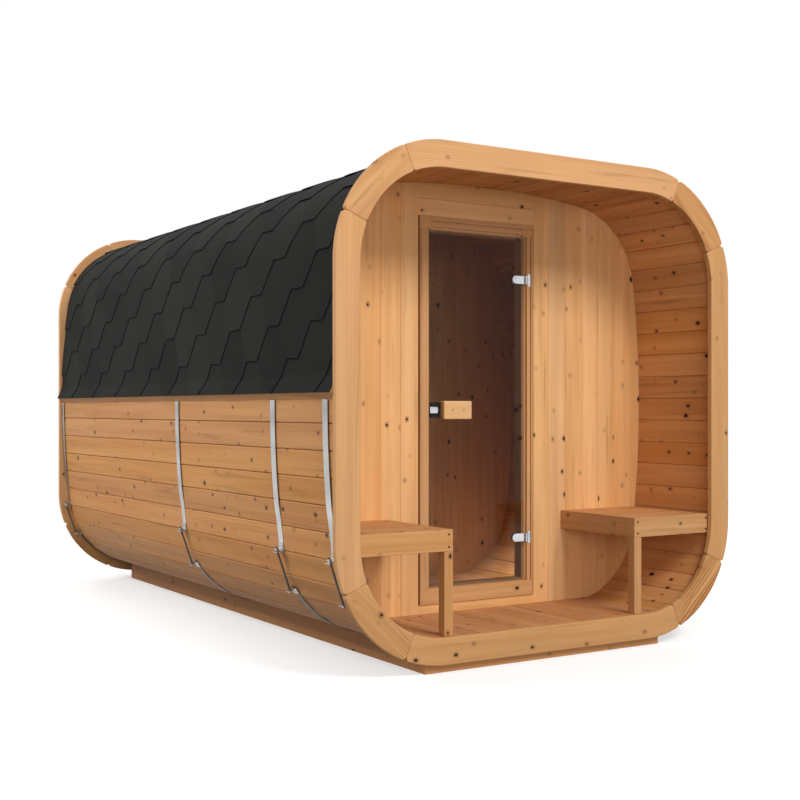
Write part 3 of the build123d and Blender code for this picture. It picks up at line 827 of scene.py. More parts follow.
def section_frame(distance):
    """Point of the section at a distance along its outer face from the bottom, going up the right
    side, with its tangent and its outward direction there."""
    quarter, along = divmod(distance, QUARTER)
    if along < HALF_SIDE:
        turn = along / SIDE_RADIUS
        middle, radius = Vector((0, 0, BOW_CENTRE)), SIDE_RADIUS
    elif along < QUARTER - HALF_SIDE:
        turn = SIDE_TURN + (along - HALF_SIDE) / CORNER_RADIUS
        middle, radius = Vector((CORNER_CENTRE, 0, -CORNER_CENTRE)), CORNER_RADIUS
    else:
        turn = pi / 2 - (QUARTER - along) / SIDE_RADIUS
        middle, radius = Vector((-BOW_CENTRE, 0, 0)), SIDE_RADIUS
    outward = Vector((sin(turn), 0, -cos(turn)))
    tangent = Vector((cos(turn), 0, sin(turn)))
    quarter_turn = Matrix.Rotation(-pi / 2 * quarter, 3, "Y")
    place = quarter_turn @ (middle + outward * radius) + Vector((0, 0, MIDDLE_Z))
    return place, quarter_turn @ tangent, quarter_turn @ outward


def section_curve():
    curve = bpy.data.curves.new("shell_section", "CURVE")
    curve.dimensions = "3D"
    spline = curve.splines.new("POLY")
    spline.points.add(SECTION_STEPS)
    for step, point in enumerate(spline.points):
        point.co = (*section_frame(SECTION_LENGTH * step / SECTION_STEPS)[0], 1.0)
    return link("shell_section", curve)


SECTION = section_curve()
AROUND = {"Section": SECTION, "Section_Length": SECTION_LENGTH, "Side": 1.0}


def add_staves():
    lip, slot = INNER_LIP, SEAM_SLOT / 2
    outer = [(0, -SEAM_DEPTH), (slot, -SEAM_DEPTH), (slot, -STAVE_GROOVE)]
    shoulder = [STAVE_GROOVE * share for share in GROOVE_SHOULDER]
    outer += [(slot + shoulder[0], -shoulder[1]), (slot + STAVE_GROOVE, 0)]
    inner = [(slot + lip, -STAVE_THICKNESS), (slot, lip - STAVE_THICKNESS)]
    inner += [(slot, SEAM_DEPTH / 2 - STAVE_THICKNESS), (0, SEAM_DEPTH / 2 - STAVE_THICKNESS)]
    half = outer[::-1] + inner[::-1]
    outline = [*half, *[(STAVE_PITCH - across, depth) for across, depth in reversed(half)]]
    piece = mesh_piece("shell_staves", bar_shape(outline, SHELL_FRONT, SHELL_REAR, (X_WAY, Z_WAY, Y_WAY)))
    set_out(piece, SHELL_WOOD, STAVE_COUNT, 3, Column_Step=X_WAY * STAVE_PITCH)
    apply_tree(piece, LAY_ON_SECTION, Material=SHELL_WOOD, **AROUND)
    settle(piece)
    nodes = [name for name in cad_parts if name.startswith("shell_")]
    settled_on(piece, "sauna", "stave_wood", *nodes)


def tab_shape():
    """One shingle tab in the flat: x up the roof from its lower edge, y along the eaves. Below the
    cut-outs it has the lower half of a hexagon, and above them it is as wide as its pitch."""
    stations = [TAB_ROW * step / TAB_STEPS for step in range(TAB_STEPS + 1)]
    slant = (TAB_PITCH / 2 - TAB_FLAT / 2) - TAB_FLAT / 2
    widths = [TAB_FLAT / 2 + slant * station / TAB_ROW for station in stations]
    cut_top = TAB_ROW + TAB_HIDDEN / 4
    last = 2 * TAB_ROW + TAB_HIDDEN
    upper = [cut_top + (last - cut_top) * step / TAB_STEPS for step in range(TAB_STEPS + 1)]
    widths += [TAB_PITCH / 2 - FACE_CLEARANCE] * len(upper)
    stations += upper
    slope = TAB_THICKNESS / TAB_ROW
    shape = bmesh.new()
    edge_mark = shape.faces.layers.float.new("cut_edge")
    sheets = []
    for under in (TAB_THICKNESS, 0.0):
        rows = []
        for station, width in zip(stations, widths):
            height = slope * (last - station) + TAB_THICKNESS - under
            curl = TAB_CURL * max(0.0, 1 - station / (TAB_CURL_SHARE * TAB_ROW)) ** 2
            rows.append([shape.verts.new((station, width * side, height + curl)) for side in (-1, 0, 1)])
        sheets.append(rows)
    for sheet in sheets:
        for low, high in zip(sheet, sheet[1:]):
            for side in (0, 1):
                shape.faces.new((low[side], high[side], high[side + 1], low[side + 1]))
    under, over = sheets
    rims = [(under[0], over[0]), (under[-1], over[-1])]
    rims += [([row[side] for row in under], [row[side] for row in over]) for side in (0, 2)]
    for low, high in rims:
        for step in range(len(low) - 1):
            face = shape.faces.new((low[step], low[step + 1], high[step + 1], high[step]))
            face[edge_mark] = 1.0
    bmesh.ops.recalc_face_normals(shape, faces=shape.faces)
    return shape


def trimmed(piece, *planes):
    """Cuts a piece off beyond some planes, each given by a point and the direction that goes."""
    shape = bmesh.new()
    shape.from_mesh(piece.data)
    for point, direction in planes:
        geometry = [*shape.verts, *shape.edges, *shape.faces]
        cut = bmesh.ops.bisect_plane(
            shape, geom=geometry, plane_co=point, plane_no=direction, clear_outer=True, dist=CUT_DISTANCE
        )
        edges = [part for part in cut["geom_cut"] if isinstance(part, bmesh.types.BMEdge)]
        bmesh.ops.holes_fill(shape, edges=[edge for edge in edges if edge.is_boundary], sides=0)
    shape.to_mesh(piece.data)
    shape.free()
    return piece


def add_shingles():
    """Rows of hexagonal tabs up each side of the roof, and caps along the ridge."""
    rows = ceil((QUARTER - FIRST_ROW_ABOVE_MIDDLE) / TAB_ROW)
    columns = ceil((SHELL_REAR - SHELL_FRONT) / TAB_PITCH) + 2
    first_y = SHELL_FRONT + FIRST_FLAT_FROM_FRONT - FRONT_RING_THICKNESS + TAB_FLAT / 2 - TAB_PITCH
    ends = ((Y_WAY * SHELL_FRONT, -Y_WAY), (Y_WAY * SHELL_REAR, Y_WAY))
    halves = []
    for side_name, side in (("right", 1.0), ("left", -1.0)):
        piece = mesh_piece("roof_tabs_" + side_name, tab_shape())
        set_out(
            piece,
            SHINGLE,
            rows * columns,
            7,
            columns,
            Start=(QUARTER + FIRST_ROW_ABOVE_MIDDLE, first_y, 0),
            Column_Step=(0, TAB_PITCH, 0),
            Row_Step=(TAB_ROW, 0, 0),
            Odd_Row_Shift=(0, TAB_PHASE, 0),
        )
        eave = {
            **AROUND,
            "Side": side,
            "Flare_From": QUARTER + EAVE_TIP_Z - MIDDLE_Z,
            "Flare_To": QUARTER + EAVE_TOP_Z - MIDDLE_Z,
            "Flare_Out": EAVE_OUT,
        }
        apply_tree(piece, LAY_ON_SECTION, Material=SHINGLE, **eave)
        halves.append(trimmed(settle(piece), *ends, (Vector(), X_WAY * -side)))
        starter = mesh_piece("starter_strip_" + side_name, starter_shape())
        set_out(starter, SHINGLE, 1, 9)
        apply_tree(starter, LAY_ON_SECTION, Material=SHINGLE, **eave)
        halves.append(settle(starter))
    caps = mesh_piece("ridge_caps", cap_shape())
    count = ceil((SHELL_REAR - SHELL_FRONT) / CAP_ROW) + 1
    start = (2 * QUARTER, SHELL_FRONT - CAP_ROW, 0)
    set_out(caps, SHINGLE, count, 8, Start=start, Column_Step=(0, CAP_ROW, 0))
    apply_tree(caps, LAY_ON_SECTION, Material=SHINGLE, **AROUND)
    settle(caps)
    trimmed(caps, *ends)
    for piece in (*halves, caps):
        settled_on(piece, "sauna", "shingle")
    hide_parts("roof_shingles")


def starter_shape():
    """The straight strip under the lowest tabs, in the flat, from the eaves up."""
    stations = [TAB_ROW * step / TAB_STEPS for step in range(TAB_STEPS + 1)]
    slope = TAB_THICKNESS / TAB_ROW
    low = QUARTER + FIRST_ROW_ABOVE_MIDDLE
    under = [(low + station, slope * (TAB_ROW - station)) for station in stations]
    over = [(distance, height + TAB_THICKNESS) for distance, height in reversed(under)]
    return bar_shape(under + over, SHELL_FRONT, SHELL_REAR, (X_WAY, Z_WAY, Y_WAY))


def cap_shape():
    """A ridge cap in the flat, lapped along the building over the next one."""
    shape = bmesh.new()
    edge_mark = shape.faces.layers.float.new("cut_edge")
    length = 2 * CAP_ROW + TAB_HIDDEN
    base = tab_height_at_ridge()
    stations = (0.0, length)
    widths = [CAP_HALF_WIDTH * step / CAP_STEPS for step in range(-CAP_STEPS, CAP_STEPS + 1)]
    slope = CAP_THICKNESS / CAP_ROW
    rings = []
    for station in stations:
        height = base + slope * (length - station)
        low = [shape.verts.new((width, station, height)) for width in widths]
        high = [shape.verts.new((width, station, height + CAP_THICKNESS)) for width in reversed(widths)]
        rings.append(low + high)
    front_ring, back_ring = rings
    total = len(front_ring)
    half = total // 2
    for step in range(total):
        after = (step + 1) % total
        face = shape.faces.new((front_ring[step], front_ring[after], back_ring[after], back_ring[step]))
        if step in (half - 1, total - 1):
            face[edge_mark] = 1.0
    for ring in rings:
        for step in range(half - 1):
            quad = (ring[step], ring[step + 1], ring[total - 2 - step], ring[total - 1 - step])
            shape.faces.new(quad)[edge_mark] = 1.0
    bmesh.ops.recalc_face_normals(shape, faces=shape.faces)
    return shape


def tab_height_at_ridge():
    """Height of the top of the last tabs where the two sides of the roof meet."""
    last_row = ceil((QUARTER - FIRST_ROW_ABOVE_MIDDLE) / TAB_ROW) - 1
    up_last_tab = QUARTER - FIRST_ROW_ABOVE_MIDDLE - last_row * TAB_ROW
    return TAB_THICKNESS / TAB_ROW * (2 * TAB_ROW + TAB_HIDDEN - up_last_tab) + TAB_THICKNESS


def band_rise(distance):
    """How far a band stands off the staves: it touches them at the corners and hangs clear above."""
    above = min(1.0, max(0.0, (abs(distance) - TENSIONER_HIGH - BAND_CONTACT) / BAND_CONTACT))
    return BAND_STAND_OFF * above * above * (3 - 2 * above)


def band_strip(start, end, middle_y):
    steps = ceil((end - start) / BAND_STEP)
    stations = [start + (end - start) * step / steps for step in range(steps + 1)]
    under = [(station, band_rise(station)) for station in stations]
    over = [(station, rise + BAND_THICKNESS) for station, rise in reversed(under)]
    half = Y_WAY * BAND_WIDTH / 2
    return bar_shape(under + over, middle_y - half.y, middle_y + half.y, (X_WAY, Z_WAY, Y_WAY))


def gathered(shapes):
    """Several shapes as one."""
    whole = bmesh.new()
    for shape in shapes:
        mesh = bpy.data.meshes.new("gathered")
        shape.to_mesh(mesh)
        shape.free()
        whole.from_mesh(mesh)
        bpy.data.meshes.remove(mesh)
    return whole


def placed(shape, place, first, second, third):
    """Moves a shape so that its own x, y and z run in three given directions from a place."""
    turn = Matrix((first, second, third)).transposed().to_4x4()
    bmesh.ops.transform(shape, matrix=Matrix.Translation(place) @ turn, verts=shape.verts)
    bmesh.ops.recalc_face_normals(shape, faces=shape.faces)
    return shape


def round_bar(stations, sides=12):
    """A turned shape about its own z: each station gives a height and a radius."""
    shape = bmesh.new()
    rings = []
    for height, radius in stations:
        turns = [2 * pi * side / sides for side in range(sides)]
        rings.append([shape.verts.new((radius * cos(t), radius * sin(t), height)) for t in turns])
    for low, high in zip(rings, rings[1:]):
        for side in range(sides):
            after = (side + 1) % sides
            shape.faces.new((low[side], low[after], high[after], high[side]))
    shape.faces.new(reversed(rings[0]))
    shape.faces.new(rings[-1])
    return shape


def threaded_rod(length):
    turns = ceil(length / THREAD_PITCH)
    stations = [(0.0, ROD_RADIUS * ROD_TIP)]
    for turn in range(turns):
        low = length * (turn + 0.2) / turns
        stations += [(low, ROD_RADIUS), (low + length * 0.5 / turns, ROD_RADIUS * THREAD_ROOT)]
    return round_bar([*stations, (length, ROD_RADIUS * ROD_TIP)], sides=10)


def hex_nut():
    edge, face = NUT_HEIGHT * NUT_CHAMFER[0], NUT_RADIUS * NUT_CHAMFER[1]
    stations = [(0.0, face), (edge, NUT_RADIUS), (NUT_HEIGHT - edge, NUT_RADIUS), (NUT_HEIGHT, face)]
    return round_bar(stations, sides=6)


def washer():
    return round_bar([(0.0, WASHER_RADIUS), (WASHER_HEIGHT, WASHER_RADIUS)], sides=20)


def rivet():
    return round_bar(RIVET_PROFILE)


def screw_head():
    return round_bar(SCREW_PROFILE, sides=14)


def bracket_outline():
    """Foot and leg of an angle bracket, in the directions along the band and out from it."""
    plate, foot, leg, bend = BRACKET_PLATE, BRACKET_FOOT, BRACKET_LEG, BRACKET_PLATE * 1.5
    outline = [(0, bend), (0, leg), (plate, leg), (plate, bend)]
    outline += [(bend, plate), (foot, plate), (foot, 0), (bend, 0)]
    turns = [radians(degrees) for degrees in (250, 225, 205)]
    return outline + [(bend + bend * cos(turn), bend + bend * sin(turn)) for turn in turns]


def add_bands():
    """Steel bands with a threaded tensioner at each lower corner."""
    strips, low_strips, fasteners, threads = [], [], [], []
    for middle in BAND_MIDDLES:
        strips.append(band_strip(-EAVE_DISTANCE, -TENSIONER_HIGH, middle))
        strips.append(band_strip(TENSIONER_HIGH, EAVE_DISTANCE, middle))
        low_strips.append(band_strip(-TENSIONER_LOW, TENSIONER_LOW, middle))
        for side in (-1, 1):
            legs = []
            for distance, inward in ((TENSIONER_LOW, -1), (TENSIONER_HIGH, 1)):
                root, tangent, outward = section_frame(side * distance % SECTION_LENGTH)
                root = root + outward * BAND_THICKNESS + Y_WAY * middle
                along = tangent * side * inward
                half = BRACKET_WIDTH / 2
                bracket = bar_shape(bracket_outline(), -half, half, (X_WAY, Y_WAY, Z_WAY))
                fasteners.append(placed(bracket, root, along, outward, Y_WAY))
                for across in (-1, 1):
                    head = root + along * BRACKET_FOOT * BRACKET_RIVETS[0] + outward * BRACKET_PLATE
                    head = head + Y_WAY * across * half * BRACKET_RIVETS[1]
                    fasteners.append(placed(rivet(), head, along, Y_WAY, outward))
                legs.append(root + outward * ROD_OUT)
            low, high = legs
            way = (high - low).normalized()
            side_way = way.cross(Y_WAY)
            start = low - way * ROD_SPARE
            rod = threaded_rod((high - low).length + ROD_SPARE + ROD_END)
            threads.append(placed(rod, start, side_way, Y_WAY, way))
            for point, direction in ((low, -way), (high, way)):
                seat = point + direction * BRACKET_PLATE
                fasteners.append(placed(washer(), seat, side_way, Y_WAY, direction))
                for step in (0, 1):
                    if step and direction == -way:
                        continue
                    place = seat + direction * (WASHER_HEIGHT + step * (NUT_HEIGHT + NUT_GAP))
                    fasteners.append(placed(hex_nut(), place, side_way, Y_WAY, direction))
    # The lower strips under the building are the same band steel, but they are given the dark rod steel:
    # painted shade, standing for the band in shadow beneath the building.
    for name, shapes, steel_or_painted_shade in (
        ("side_band_strips", strips, BAND_STEEL),
        ("low_band_strips", low_strips, ROD_STEEL_AND_SHADED_BAND),
    ):
        bands = mesh_piece(name, gathered(shapes))
        apply_tree(bands, LAY_ON_SECTION, Material=steel_or_painted_shade, **AROUND)
        settled_on(settle(bands), "sauna", "band_steel")
    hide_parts("steel_bands")
    tensioners = mesh_piece("band_tensioner_rods", gathered(fasteners))
    tensioners.data.materials.append(BAND_STEEL)
    settled_on(tensioners, "sauna", "band_steel", "band_tensioners")
    rods = mesh_piece("threaded_rods", gathered(threads))
    rods.data.materials.append(ROD_STEEL_AND_SHADED_BAND)
    settled_on(rods, "sauna", "band_steel")


def rounded_plate(left, right, height, left_radius, right_radius):
    """Outline of a plate in its own plane, with a radius for its left and its right corners."""
    outline = []
    half = height / 2
    corners = (
        (right - right_radius, right_radius, 1, 0),
        (left + left_radius, left_radius, 1, 90),
        (left + left_radius, left_radius, -1, 180),
        (right - right_radius, right_radius, -1, 270),
    )
    for across, radius, side, first in corners:
        for step in range(PLATE_STEPS + 1):
            turn = radians(first + 90 * step / PLATE_STEPS)
            point = Vector((across + radius * cos(turn), side * (half - radius) + radius * sin(turn)))
            if not outline or (point - outline[-1]).length > FACE_CLEARANCE:
                outline.append(point)
    return outline


def plate_shape(outline, front, back, middle_z):
    shape = bar_shape(outline, front, back, (X_WAY, Z_WAY, Y_WAY))
    bmesh.ops.translate(shape, verts=shape.verts, vec=Z_WAY * middle_z)
    return shape


def upright_bar(x, y, low, high, radius, sides=20):
    lip = min(KNUCKLE_LIP, radius / 4)
    stations = [(low, radius - lip), (low + lip, radius), (high - lip, radius), (high, radius - lip)]
    shape = round_bar(stations, sides)
    bmesh.ops.translate(shape, verts=shape.verts, vec=(x, y, 0))
    return shape


def fitting(name, shapes, material, body, slot, nodes=(), edge=FITTING_EDGE):
    piece = mesh_piece(name, gathered(shapes))
    piece.data.materials.append(material)
    ease_edges(piece, edge, FITTING_ANGLE)
    return settled_on(settle(piece), body, slot, *nodes)


def add_hinges():
    """Glass clamps with two knuckles each, and jamb plates with the middle knuckle and the pin."""
    (_, _, plate_low), (plate_right, _, plate_high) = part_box("hinge_plates")
    low_y, high_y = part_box("door_glass")[0].y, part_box("door_glass")[1].y
    axis_x, axis_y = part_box("door_glass")[1].x + HINGE_AXIS_OUT[0], low_y - HINGE_AXIS_OUT[1]
    knuckle = (CLAMP_HEIGHT - 2 * KNUCKLE_GAP) / 3
    clamps, plates = [], []
    for middle in (plate_low + HINGE_HEIGHT / 2, plate_high - HINGE_HEIGHT / 2):
        for right, front in ((CLAMP_RIGHT, low_y - CLAMP_PLATE), (CLAMP_BACK_RIGHT, high_y)):
            pad = rounded_plate(CLAMP_LEFT, right, CLAMP_HEIGHT, CLAMP_HEIGHT / 2, PAD_CORNER)
            clamps.append(plate_shape(pad, front, front + CLAMP_PLATE, middle))
        for side in (-1, 1):
            centre = middle + side * (knuckle + KNUCKLE_GAP)
            low, high = centre - knuckle / 2, centre + knuckle / 2
            clamps.append(upright_bar(axis_x, axis_y, low, high, KNUCKLE_RADIUS))
            web = rounded_plate(CLAMP_RIGHT - WEB_OVERLAP, axis_x, knuckle, WEB_CORNER, WEB_CORNER)
            clamps.append(plate_shape(web, low_y - CLAMP_PLATE, low_y - CLAMP_PLATE / 2, centre))
        corners = (JAMB_PLATE_CORNER, JAMB_PLATE_CORNER)
        plate_left = plate_right - JAMB_PLATE_WIDTH
        jamb_plate = rounded_plate(plate_left, plate_right, JAMB_PLATE_HEIGHT, *corners)
        jamb_front = FRAME_FRONT - JAMB_PLATE
        plates.append(plate_shape(jamb_plate, jamb_front, FRAME_FRONT, middle))
        low, high = middle - knuckle / 2, middle + knuckle / 2
        plates.append(upright_bar(axis_x, axis_y, low, high, KNUCKLE_RADIUS))
        web_right = plate_right - JAMB_PLATE_WIDTH / 2
        web = rounded_plate(axis_x, web_right, knuckle, WEB_CORNER, WEB_CORNER)
        plates.append(plate_shape(web, jamb_front - JAMB_PLATE, jamb_front, middle))
        tip = CLAMP_HEIGHT / 2 + PIN_SPARE
        plates.append(upright_bar(axis_x, axis_y, middle - tip, middle + tip, KNUCKLE_RADIUS / 2, 12))
    fitting("hinge_clamps", clamps, CHROME, "door", "chrome", ["hinge_clips"])
    fitting("jamb_hinge_plates", plates, CHROME, "sauna", "chrome", ["hinge_plates"])


def stepped_profile(outer, inner, stop, back):
    """Section of a frame member: across it from its outer side inwards, and through it. It has a
    groove along its face, and a rebate for the leaf."""
    way = 1 if outer > inner else -1
    front, groove, rebate = FRAME_FRONT, FRAME_GROOVE, FRAME_REBATE
    return [
        (outer, front),
        (inner + way * groove[1], front),
        (inner + way * groove[1], front + groove[2]),
        (inner + way * groove[0], front + groove[2]),
        (inner + way * groove[0], front),
        (inner + way * rebate[0], front),
        (inner + way * rebate[0], front + rebate[1]),
        (stop, front + rebate[1]),
        (stop, back),
        (outer, back),
    ]


def framed(name, shape, along, across, seed, *nodes):
    piece = mesh_piece(name, shape)
    ease_edges(piece, BOARD_EDGE / 2)
    add_grain(piece, FRAME_WOOD, along, across, seed)
    return settled_on(settle(piece), "sauna", "frame_wood", *nodes)


def add_door_frame():
    """Left jamb as in the CAD model, and the head and right jamb with their groove and rebate."""
    (_, _, jamb_low), (jamb_right, jamb_back, jamb_high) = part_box("door_jambs")
    head_low, head_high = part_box("door_head")
    solid_boards(
        "left_jamb_board",
        ["door_jambs"],
        FRAME_WOOD,
        "frame_wood",
        Z_WAY,
        X_WAY,
        seed=81,
        kept=lambda middle: middle.x < 0,
    )
    right = stepped_profile(jamb_right, JAMB_INNER, STOP_INNER, jamb_back)
    shape = bar_shape(right, jamb_low, jamb_high, (X_WAY, Y_WAY, Z_WAY))
    framed("right_jamb_board", shape, Z_WAY, X_WAY, 82)
    head = stepped_profile(head_high.z, jamb_high, head_low.z, head_high.y)
    middle = bar_shape(head, -STOP_INNER, STOP_INNER, (Z_WAY, Y_WAY, X_WAY))
    ends = []
    outline = [(head_high.z, FRAME_FRONT), (jamb_high, FRAME_FRONT)]
    outline += [(jamb_high, jamb_back), (head_high.z, jamb_back)]
    for side in (-1, 1):
        reach = sorted((side * STOP_INNER, side * jamb_right))
        ends.append(bar_shape(outline, *reach, (Z_WAY, Y_WAY, X_WAY)))
    framed("head_board", gathered([middle, *ends]), X_WAY, Z_WAY, 83, "door_head")


def add_bench_screws():
    """Countersunk screws in pairs at the ends of the front aprons."""
    apron_low, apron_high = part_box("bench_front_aprons")
    inner_end = -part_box("left_bench_seat")[1].x - APRON_THICKNESS
    heights = [apron_low.z + share * (apron_high.z - apron_low.z) for share in APRON_SCREWS]
    screws = []
    for side in (-1, 1):
        for x in (inner_end + SCREW_FROM_END, apron_high.x - SCREW_FROM_END):
            for z in heights:
                place = Vector((side * x, apron_low.y - SCREW_PROUD, z))
                screws.append(placed(screw_head(), place, X_WAY, Z_WAY, -Y_WAY))
    fitting("bench_screws", screws, SCREW_STEEL, "sauna", "band_steel", edge=SCREW_EDGE)


def add_latch_and_handle():
    glass_low, glass_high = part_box("door_glass")
    handle_low, handle_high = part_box("door_handle")
    middle_z = (handle_low.z + handle_high.z) / 2
    width, height = LATCH_SIZE
    front_clip = rounded_plate(LATCH_LEFT, LATCH_LEFT + width, height, *LATCH_CORNERS)
    clip = plate_shape(front_clip, glass_low.y - LATCH_PLATE, glass_low.y, middle_z)
    fitting("latch_clip", [clip], CHROME, "door", "chrome", ["door_latch"])
    body = (LATCH_BODY_LEFT, LATCH_BODY_RIGHT, LATCH_BODY_HEIGHT)
    body_outline = rounded_plate(*body, *LATCH_BODY_CORNERS)
    housing = plate_shape(body_outline, glass_high.y, glass_high.y + LATCH_BODY_DEPTH, middle_z)
    fitting("latch_housing", [housing], LATCH_BLACK, "door", None, edge=LATCH_BODY_EDGE)
    finish = (HANDLE_WOOD, "handle_wood", X_WAY, Z_WAY, HANDLE_EDGE, 90)
    solid_boards("handle_blocks", ["door_handle"], *finish, body="door")
    screws = []
    for share in HANDLE_SCREWS:
        x = handle_low.x + share * (handle_high.x - handle_low.x)
        place = Vector((x, handle_low.y - SCREW_PROUD, middle_z))
        screws.append(placed(rivet(), place, X_WAY, Z_WAY, -Y_WAY))
    fitting("handle_screws", screws, PLUG_WOOD, "door", "handle_wood", edge=SCREW_EDGE)


# Finishes
SHELL_WOOD = wood("stave_pine", (212, 154, 98), (178, 116, 64))
FRAME_WOOD = wood("frame_pine", (210, 160, 111), (186, 132, 84))
CORNER_WOOD = wood("corner_pine", (216, 164, 112), (160, 104, 60), figure=2.0, ring_pitch=0.0042)
WALL_WOOD = wood("wall_pine", (232, 182, 128), (206, 148, 92), figure=0.6)
FLOOR_WOOD = wood("floor_pine", (210, 152, 102), (172, 112, 68))
BASE_WOOD = wood("base_pine", (210, 150, 100), (170, 114, 70))
BENCH_WOOD = wood("bench_pine", (208, 156, 106), (176, 120, 74))
HANDLE_WOOD = wood("handle_aspen", (234, 192, 142), (214, 162, 108), knots=0.0)
PLUG_WOOD = wood("plug_aspen", (196, 148, 100), (170, 120, 74), knots=0.0)
SHINGLE = shingle_material()
BAND_STEEL = steel("band_steel", (190, 190, 188), 0.38, 0.25)
# Dark steel of the threaded rods. On the lower band strips it is painted shade, standing for the band steel
# in shadow.
ROD_STEEL_AND_SHADED_BAND = steel("rod_steel_and_band_shade", (96, 94, 88), 0.46, 0.1)
SCREW_STEEL = steel("screw_steel", (70, 56, 44), 0.5, 0.0)
LATCH_BLACK = dark_plastic()
CHROME = steel("polished_chrome", (214, 215, 218), 0.12)
GLASS = glass_material()

add_staves()
add_shingles()
add_bands()

# End rings, with the grain along each board
DIAGONALS = {(1, 1): (1, 0, -1), (-1, 1): (1, 0, 1), (-1, -1): (1, 0, -1), (1, -1): (1, 0, 1)}
for end in ("front", "rear"):
    node = end + "_frame_boards"
    for way_name, along, across in (("level", X_WAY, Z_WAY), ("upright", Z_WAY, X_WAY)):
        level = way_name == "level"
        solid_boards(
            end + "_ring_" + way_name,
            [node],
            FRAME_WOOD,
            "frame_wood",
            along,
            across,
            edge=RING_EDGE,
            seed=5,
            kept=lambda middle, level=level: (abs(middle.x) < abs(middle.z - MIDDLE_Z)) == level,
        )
    for corner, ((side_x, side_z), way) in enumerate(DIAGONALS.items()):
        along = Vector(way).normalized()
        solid_boards(
            end + "_ring_corner_" + str(corner + 1),
            [end + "_frame_corners"],
            CORNER_WOOD,
            "frame_wood",
            along,
            Y_WAY.cross(along),
            edge=RING_EDGE,
            seed=6 + corner,
            kept=lambda middle, sx=side_x, sz=side_z: middle.x * sx > 0 and (middle.z - MIDDLE_Z) * sz > 0,
        )

# Walls, floors and bench tops, board by board
UPRIGHT_BOARDS = (WALL_WOOD, "wall_wood", Z_WAY, X_WAY, WALL_BOARD_PITCH, -10 * WALL_BOARD_PITCH)
LONG_BOARDS = (FLOOR_WOOD, "floor_wood", Y_WAY, X_WAY, FLOOR_BOARD_PITCH, -12 * FLOOR_BOARD_PITCH)
for wall, seed in (("front_wall", 10), ("partition", 20)):
    for side in ("left", "right"):
        board_row(wall + "_boards_" + side, wall + "_" + side, *UPRIGHT_BOARDS, seed)
    for side in ("over_door", "under_door"):
        node = wall + "_" + side
        low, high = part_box(node)
        level_boards = (WALL_WOOD, "wall_wood", X_WAY, Z_WAY, (high.z - low.z) / 2, low.z)
        board_row(wall + "_boards_" + side, node, *level_boards, seed + 1)
board_row("rear_wall_boards", "rear_wall", *UPRIGHT_BOARDS, 30)
for floor_name in ("porch_floor", "first_room_floor", "hot_room_floor"):
    board_row(floor_name + "_boards", floor_name, *LONG_BOARDS, 40)
for side in ("left", "right"):
    node = side + "_bench_seat"
    seat_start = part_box(node)[0].y
    pitch = (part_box(node)[1].y - seat_start) / SEAT_BOARDS
    board_row(side + "_seat_boards", node, BENCH_WOOD, "bench_wood", X_WAY, Y_WAY, pitch, seat_start, 70)

for name, nodes, material, slot, along, across in (
    ("joists", ["floor_joists"], FLOOR_WOOD, "floor_wood", X_WAY, Z_WAY),
    ("base_beams", ["left_base_beam", "right_base_beam"], BASE_WOOD, "base_wood", Y_WAY, Z_WAY),
    ("base_planks", ["base_cross_planks"], BASE_WOOD, "base_wood", X_WAY, Z_WAY),
    ("door_frame_sill", ["door_sill"], FRAME_WOOD, "frame_wood", X_WAY, Z_WAY),
    ("apron_boards_front", ["bench_front_aprons"], BENCH_WOOD, "bench_wood", X_WAY, Z_WAY),
    ("apron_boards_end", ["bench_end_aprons"], BENCH_WOOD, "bench_wood", Y_WAY, Z_WAY),
    ("leg_posts", ["bench_legs"], BENCH_WOOD, "bench_wood", Z_WAY, X_WAY),
    ("batten_boards", ["eave_battens"], BENCH_WOOD, "bench_wood", Y_WAY, Z_WAY),
):
    solid_boards(name, nodes, material, slot, along, across, seed=80)

recover("door_glass", GLASS)
add_door_frame()
add_bench_screws()
add_hinges()
add_latch_and_handle()

remove(SECTION)


# Setting: pale floor, soft light, and the camera at the photograph's place


def add_studio_floor():
    half = FLOOR_HALF
    mesh = bpy.data.meshes.new("studio_floor")
    corners = [(-half, -half, 0), (half, -half, 0), (half, half, 0), (-half, half, 0)]
    mesh.from_pydata(corners, [], [(0, 1, 2, 3)])
    ground = link("studio_floor", mesh)
    material, tree = new_material("studio_floor")
    seen = backdrop_seen(tree)
    dull = tree.add("ShaderNodeBsdfDiffuse", None, {"Color": linear(*FLOOR_DULL)})
    pale = tree.add("ShaderNodeBsdfDiffuse", None, {"Color": linear(*FLOOR_PALE)})
    glow = tree.add("ShaderNodeEmission", None, {"Color": (1, 1, 1, 1), "Strength": FLOOR_GLOW})
    lit = tree.add("ShaderNodeAddShader", None, {0: pale, 1: glow})
    near = tree.add("ShaderNodeMixShader", None, {0: seen, 1: dull, 2: lit})
    white = tree.add("ShaderNodeEmission", None, {"Color": (1, 1, 1, 1), "Strength": 1.0})
    x, y, _ = split(tree, object_place(tree))
    far = remap(tree, (x * x + y * y).math("SQRT"), *FLOOR_FADE) * seen
    surface = tree.add("ShaderNodeMixShader", None, {0: far, 1: near, 2: white})
    tree.add("ShaderNodeOutputMaterial", None, {"Surface": surface})
    mesh.materials.append(material)


def backdrop_seen(tree):
    """1 where the camera sees a surface straight, in a mirror or through glass."""
    path = tree.add("ShaderNodeLightPath")
    seen = path.math("MAXIMUM", tree.other(path, "Is Glossy Ray"))
    return seen.math("MAXIMUM", tree.other(path, "Is Transmission Ray"))


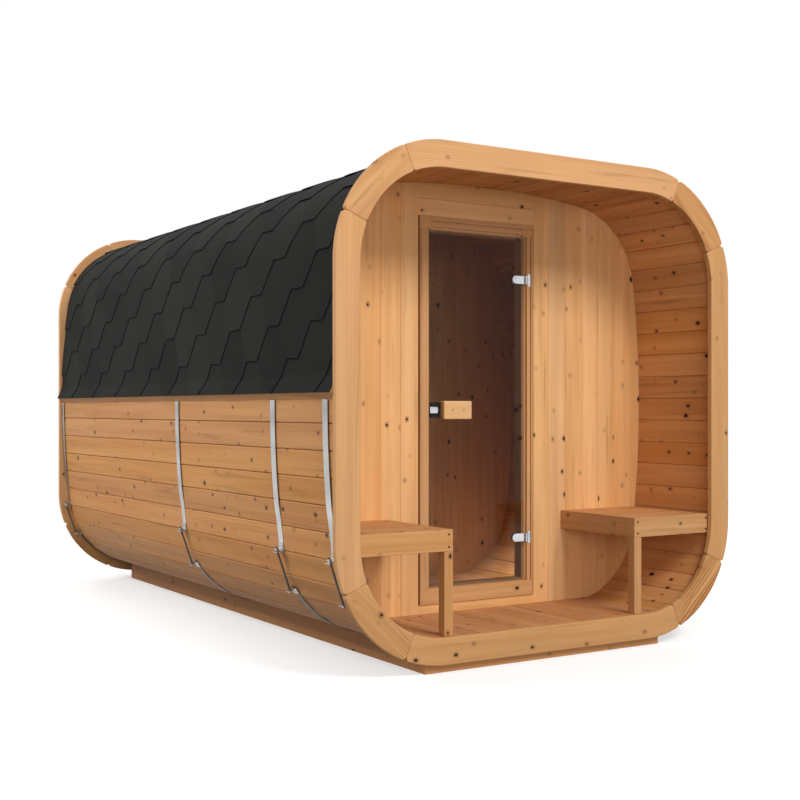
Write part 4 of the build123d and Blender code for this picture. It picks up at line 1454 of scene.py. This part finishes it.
def add_world():
    world = bpy.data.worlds.new("studio")
    scene.world = world
    world.use_nodes = True
    world.node_tree.nodes.clear()
    tree = Tree(world.node_tree)
    light = tree.add("ShaderNodeBackground", None, {"Color": (1, 1, 1, 1), "Strength": WORLD_LIGHT})
    backdrop = tree.add("ShaderNodeBackground", None, {"Color": (1, 1, 1, 1), "Strength": 1.0})
    mixed = tree.add("ShaderNodeMixShader", None, {0: backdrop_seen(tree), 1: light, 2: backdrop})
    tree.add("ShaderNodeOutputWorld", None, {"Surface": mixed})


def add_lamp(name, place, target, size, light, spread=180.0):
    """A softbox that gives the target this share of a plain level of light."""
    reach = (Vector(target) - Vector(place)).length
    data = bpy.data.lights.new(name, "AREA")
    data.shape = "RECTANGLE"
    data.size, data.size_y = size
    data.energy = light * pi**2 * reach**2
    data.spread = radians(spread)
    lamp = bpy.data.objects.new(name, data)
    lamp.location = place
    lamp.rotation_euler = (Vector(target) - Vector(place)).to_track_quat("-Z", "Y").to_euler()
    lamp.visible_camera = False
    lamp.visible_glossy = False
    scene.collection.objects.link(lamp)


def add_camera():
    data = bpy.data.cameras.new("photo_camera")
    data.sensor_width = SENSOR_WIDTH
    data.lens = FOCAL_PIXELS / PHOTO_SIDE * SENSOR_WIDTH
    data.shift_x = (PHOTO_SIDE / 2 - PRINCIPAL_POINT[0]) / PHOTO_SIDE
    data.shift_y = (PRINCIPAL_POINT[1] - PHOTO_SIDE / 2) / PHOTO_SIDE
    data.clip_end = VIEW_DEPTH
    camera = bpy.data.objects.new("photo_camera", data)
    camera.location = CAMERA_PLACE
    camera.rotation_euler = (radians(90), 0, -radians(CAMERA_TURN))
    scene.collection.objects.link(camera)
    scene.camera = camera


add_studio_floor()
add_world()
add_lamp("front_softbox", (0.7, -8.9, 7.3), (0, -1.6, 1.3), (3.6, 2.8), 0.68)
add_lamp("fill_softbox", (-2.6, -8.8, 1.7), (0, -1.5, 1.5), (3.0, 2.2), 0.24)
add_lamp("room_light", (0.72, -0.7, 1.98), (0.72, -0.7, 0.2), (0.5, 0.3), 0.11, spread=40.0)
add_lamp("left_softbox", (-5.4, 0.9, 4.3), (-1.1, 0.2, 1.0), (2.2, 1.8), 0.74)
add_lamp("right_softbox", (7.0, 3.0, 4.0), (1.1, 0, 1.2), (3.0, 3.0), 0.35)
add_lamp("rear_softbox", (-1.0, 8.5, 4.5), (0, 1.9, 1.2), (3.0, 3.0), 0.4)
add_camera()
scene.view_settings.view_transform = "Standard"
